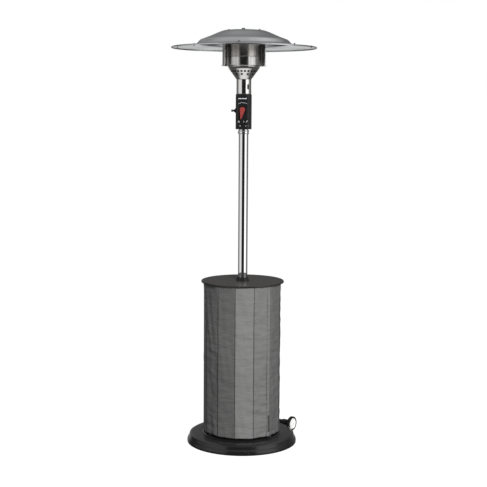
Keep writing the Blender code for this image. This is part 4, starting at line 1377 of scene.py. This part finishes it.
def make_world():
    """White to the eye, dim to matt surfaces; shiny ones mirror tall white screens and dark gaps."""
    world = bpy.data.worlds.new("studio")
    bpy.context.scene.world = world
    world.use_nodes = True
    world.node_tree.nodes.clear()
    nodes = Nodes(world.node_tree, "Generated")
    parts = nodes.add("ShaderNodeSeparateXYZ", {"Vector": nodes.place}).outputs
    bearing = nodes.math("ARCTAN2", parts["X"], nodes.math("MULTIPLY", parts["Y"], -1.0))
    offset = nodes.math("WRAP", nodes.math("SUBTRACT", bearing, radians(CAMERA_BEARING)), pi, -pi)
    # degrees to the right of the camera's side, and how bright the studio is there
    stops = ((-180, 0.16), (-150, 0.42), (-136, 0.08), (-116, 0.09), (-106, 0.42), (-92, 0.42),
             (-76, 0.9), (-36, 0.9), (-29, 0.02), (29, 0.02), (36, 1.5), (72, 1.5), (86, 0.34),
             (106, 0.24), (118, 0.1), (150, 0.2), (180, 0.16))
    screens = [((spot + 180) / 360, value) for spot, value in stops]
    ring = nodes.ramp(nodes.remap(offset, -pi, pi), screens)
    ceiling = nodes.remap(parts["X"], 0.05, 0.75, 0.58, 1.1)
    above = nodes.mix(nodes.remap(parts["Z"], 0.5, 0.88), ring, ceiling)
    below = nodes.mix(nodes.remap(parts["Z"], -0.92, -0.78), 0.95, 0.09)
    level = nodes.mix(nodes.remap(parts["Z"], -0.34, -0.22), below, above)
    # a pale strip of floor behind the object, which the reflector's underside mirrors
    behind = nodes.remap(nodes.math("ABSOLUTE", offset), radians(162), radians(169))
    strip = nodes.math("MULTIPLY", nodes.remap(parts["Z"], -0.03, -0.12),
                       nodes.remap(parts["Z"], -0.58, -0.44))
    studio = nodes.mix(nodes.math("MULTIPLY", behind, strip), level, 0.88)
    path = nodes.add("ShaderNodeLightPath").outputs
    lit = nodes.mix(path["Is Diffuse Ray"], studio, 0.22)
    colour = nodes.mix(path["Is Camera Ray"], lit, 1.0)
    background = nodes.add("ShaderNodeBackground", {"Color": colour, "Strength": 1.0})
    output = nodes.add("ShaderNodeOutputWorld")
    nodes.tree.links.new(background.outputs["Background"], output.inputs["Surface"])


def make_light(name, bearing, distance, height, size, power, aim=(0.0, 0.0, 1.1), glossy=False):
    """A rectangular soft light that faces a point on the axis."""
    lamp = bpy.data.lights.new(name, "AREA")
    lamp.shape = "RECTANGLE"
    lamp.size, lamp.size_y = size
    lamp.energy = power
    light = bpy.data.objects.new(name, lamp)
    light.location = place(bearing, distance, height)
    light.rotation_euler = (Vector(aim) - light.location).to_track_quat("-Z", "Y").to_euler()
    light.visible_glossy = glossy
    light.visible_camera = False
    bpy.context.scene.collection.objects.link(light)


def make_camera():
    lens = bpy.data.cameras.new("camera")
    lens.lens = CAMERA_LENS
    lens.shift_x = 0.001
    lens.shift_y = CAMERA_SHIFT
    camera = bpy.data.objects.new("camera", lens)
    bpy.context.scene.collection.objects.link(camera)
    camera.location = place(CAMERA_BEARING, CAMERA_DISTANCE, CAMERA_HEIGHT)
    camera.rotation_euler = (
        Matrix.Rotation(radians(CAMERA_BEARING), 4, "Z")
        @ Matrix.Rotation(radians(90 - CAMERA_PITCH), 4, "X")
        @ Matrix.Rotation(radians(CAMERA_ROLL), 4, "Z")
    ).to_euler()
    bpy.context.scene.camera = camera


# ---------------------------------------------------------------- the whole scene

make_base()
make_lid()
make_cover()
make_pole()
make_control_box()
make_knob()
make_burner_tube()
make_funnel()
make_emitter()
make_wind_shield()
make_reflector()
make_fasteners()
make_wheels()
for look_name, nodes_kept in KEPT.items():
    repaint(look_name, *nodes_kept)

make_floor()
make_world()
make_light("key", 22.0, 4.4, 2.5, (1.0, 1.6), 430.0)
make_light("top", 10.0, 0.6, 4.2, (2.4, 2.4), 30.0)
make_light("back", 205.0, 4.4, 1.3, (1.6, 2.0), 170.0)
make_camera()
bpy.context.scene.view_settings.view_transform = "Standard"
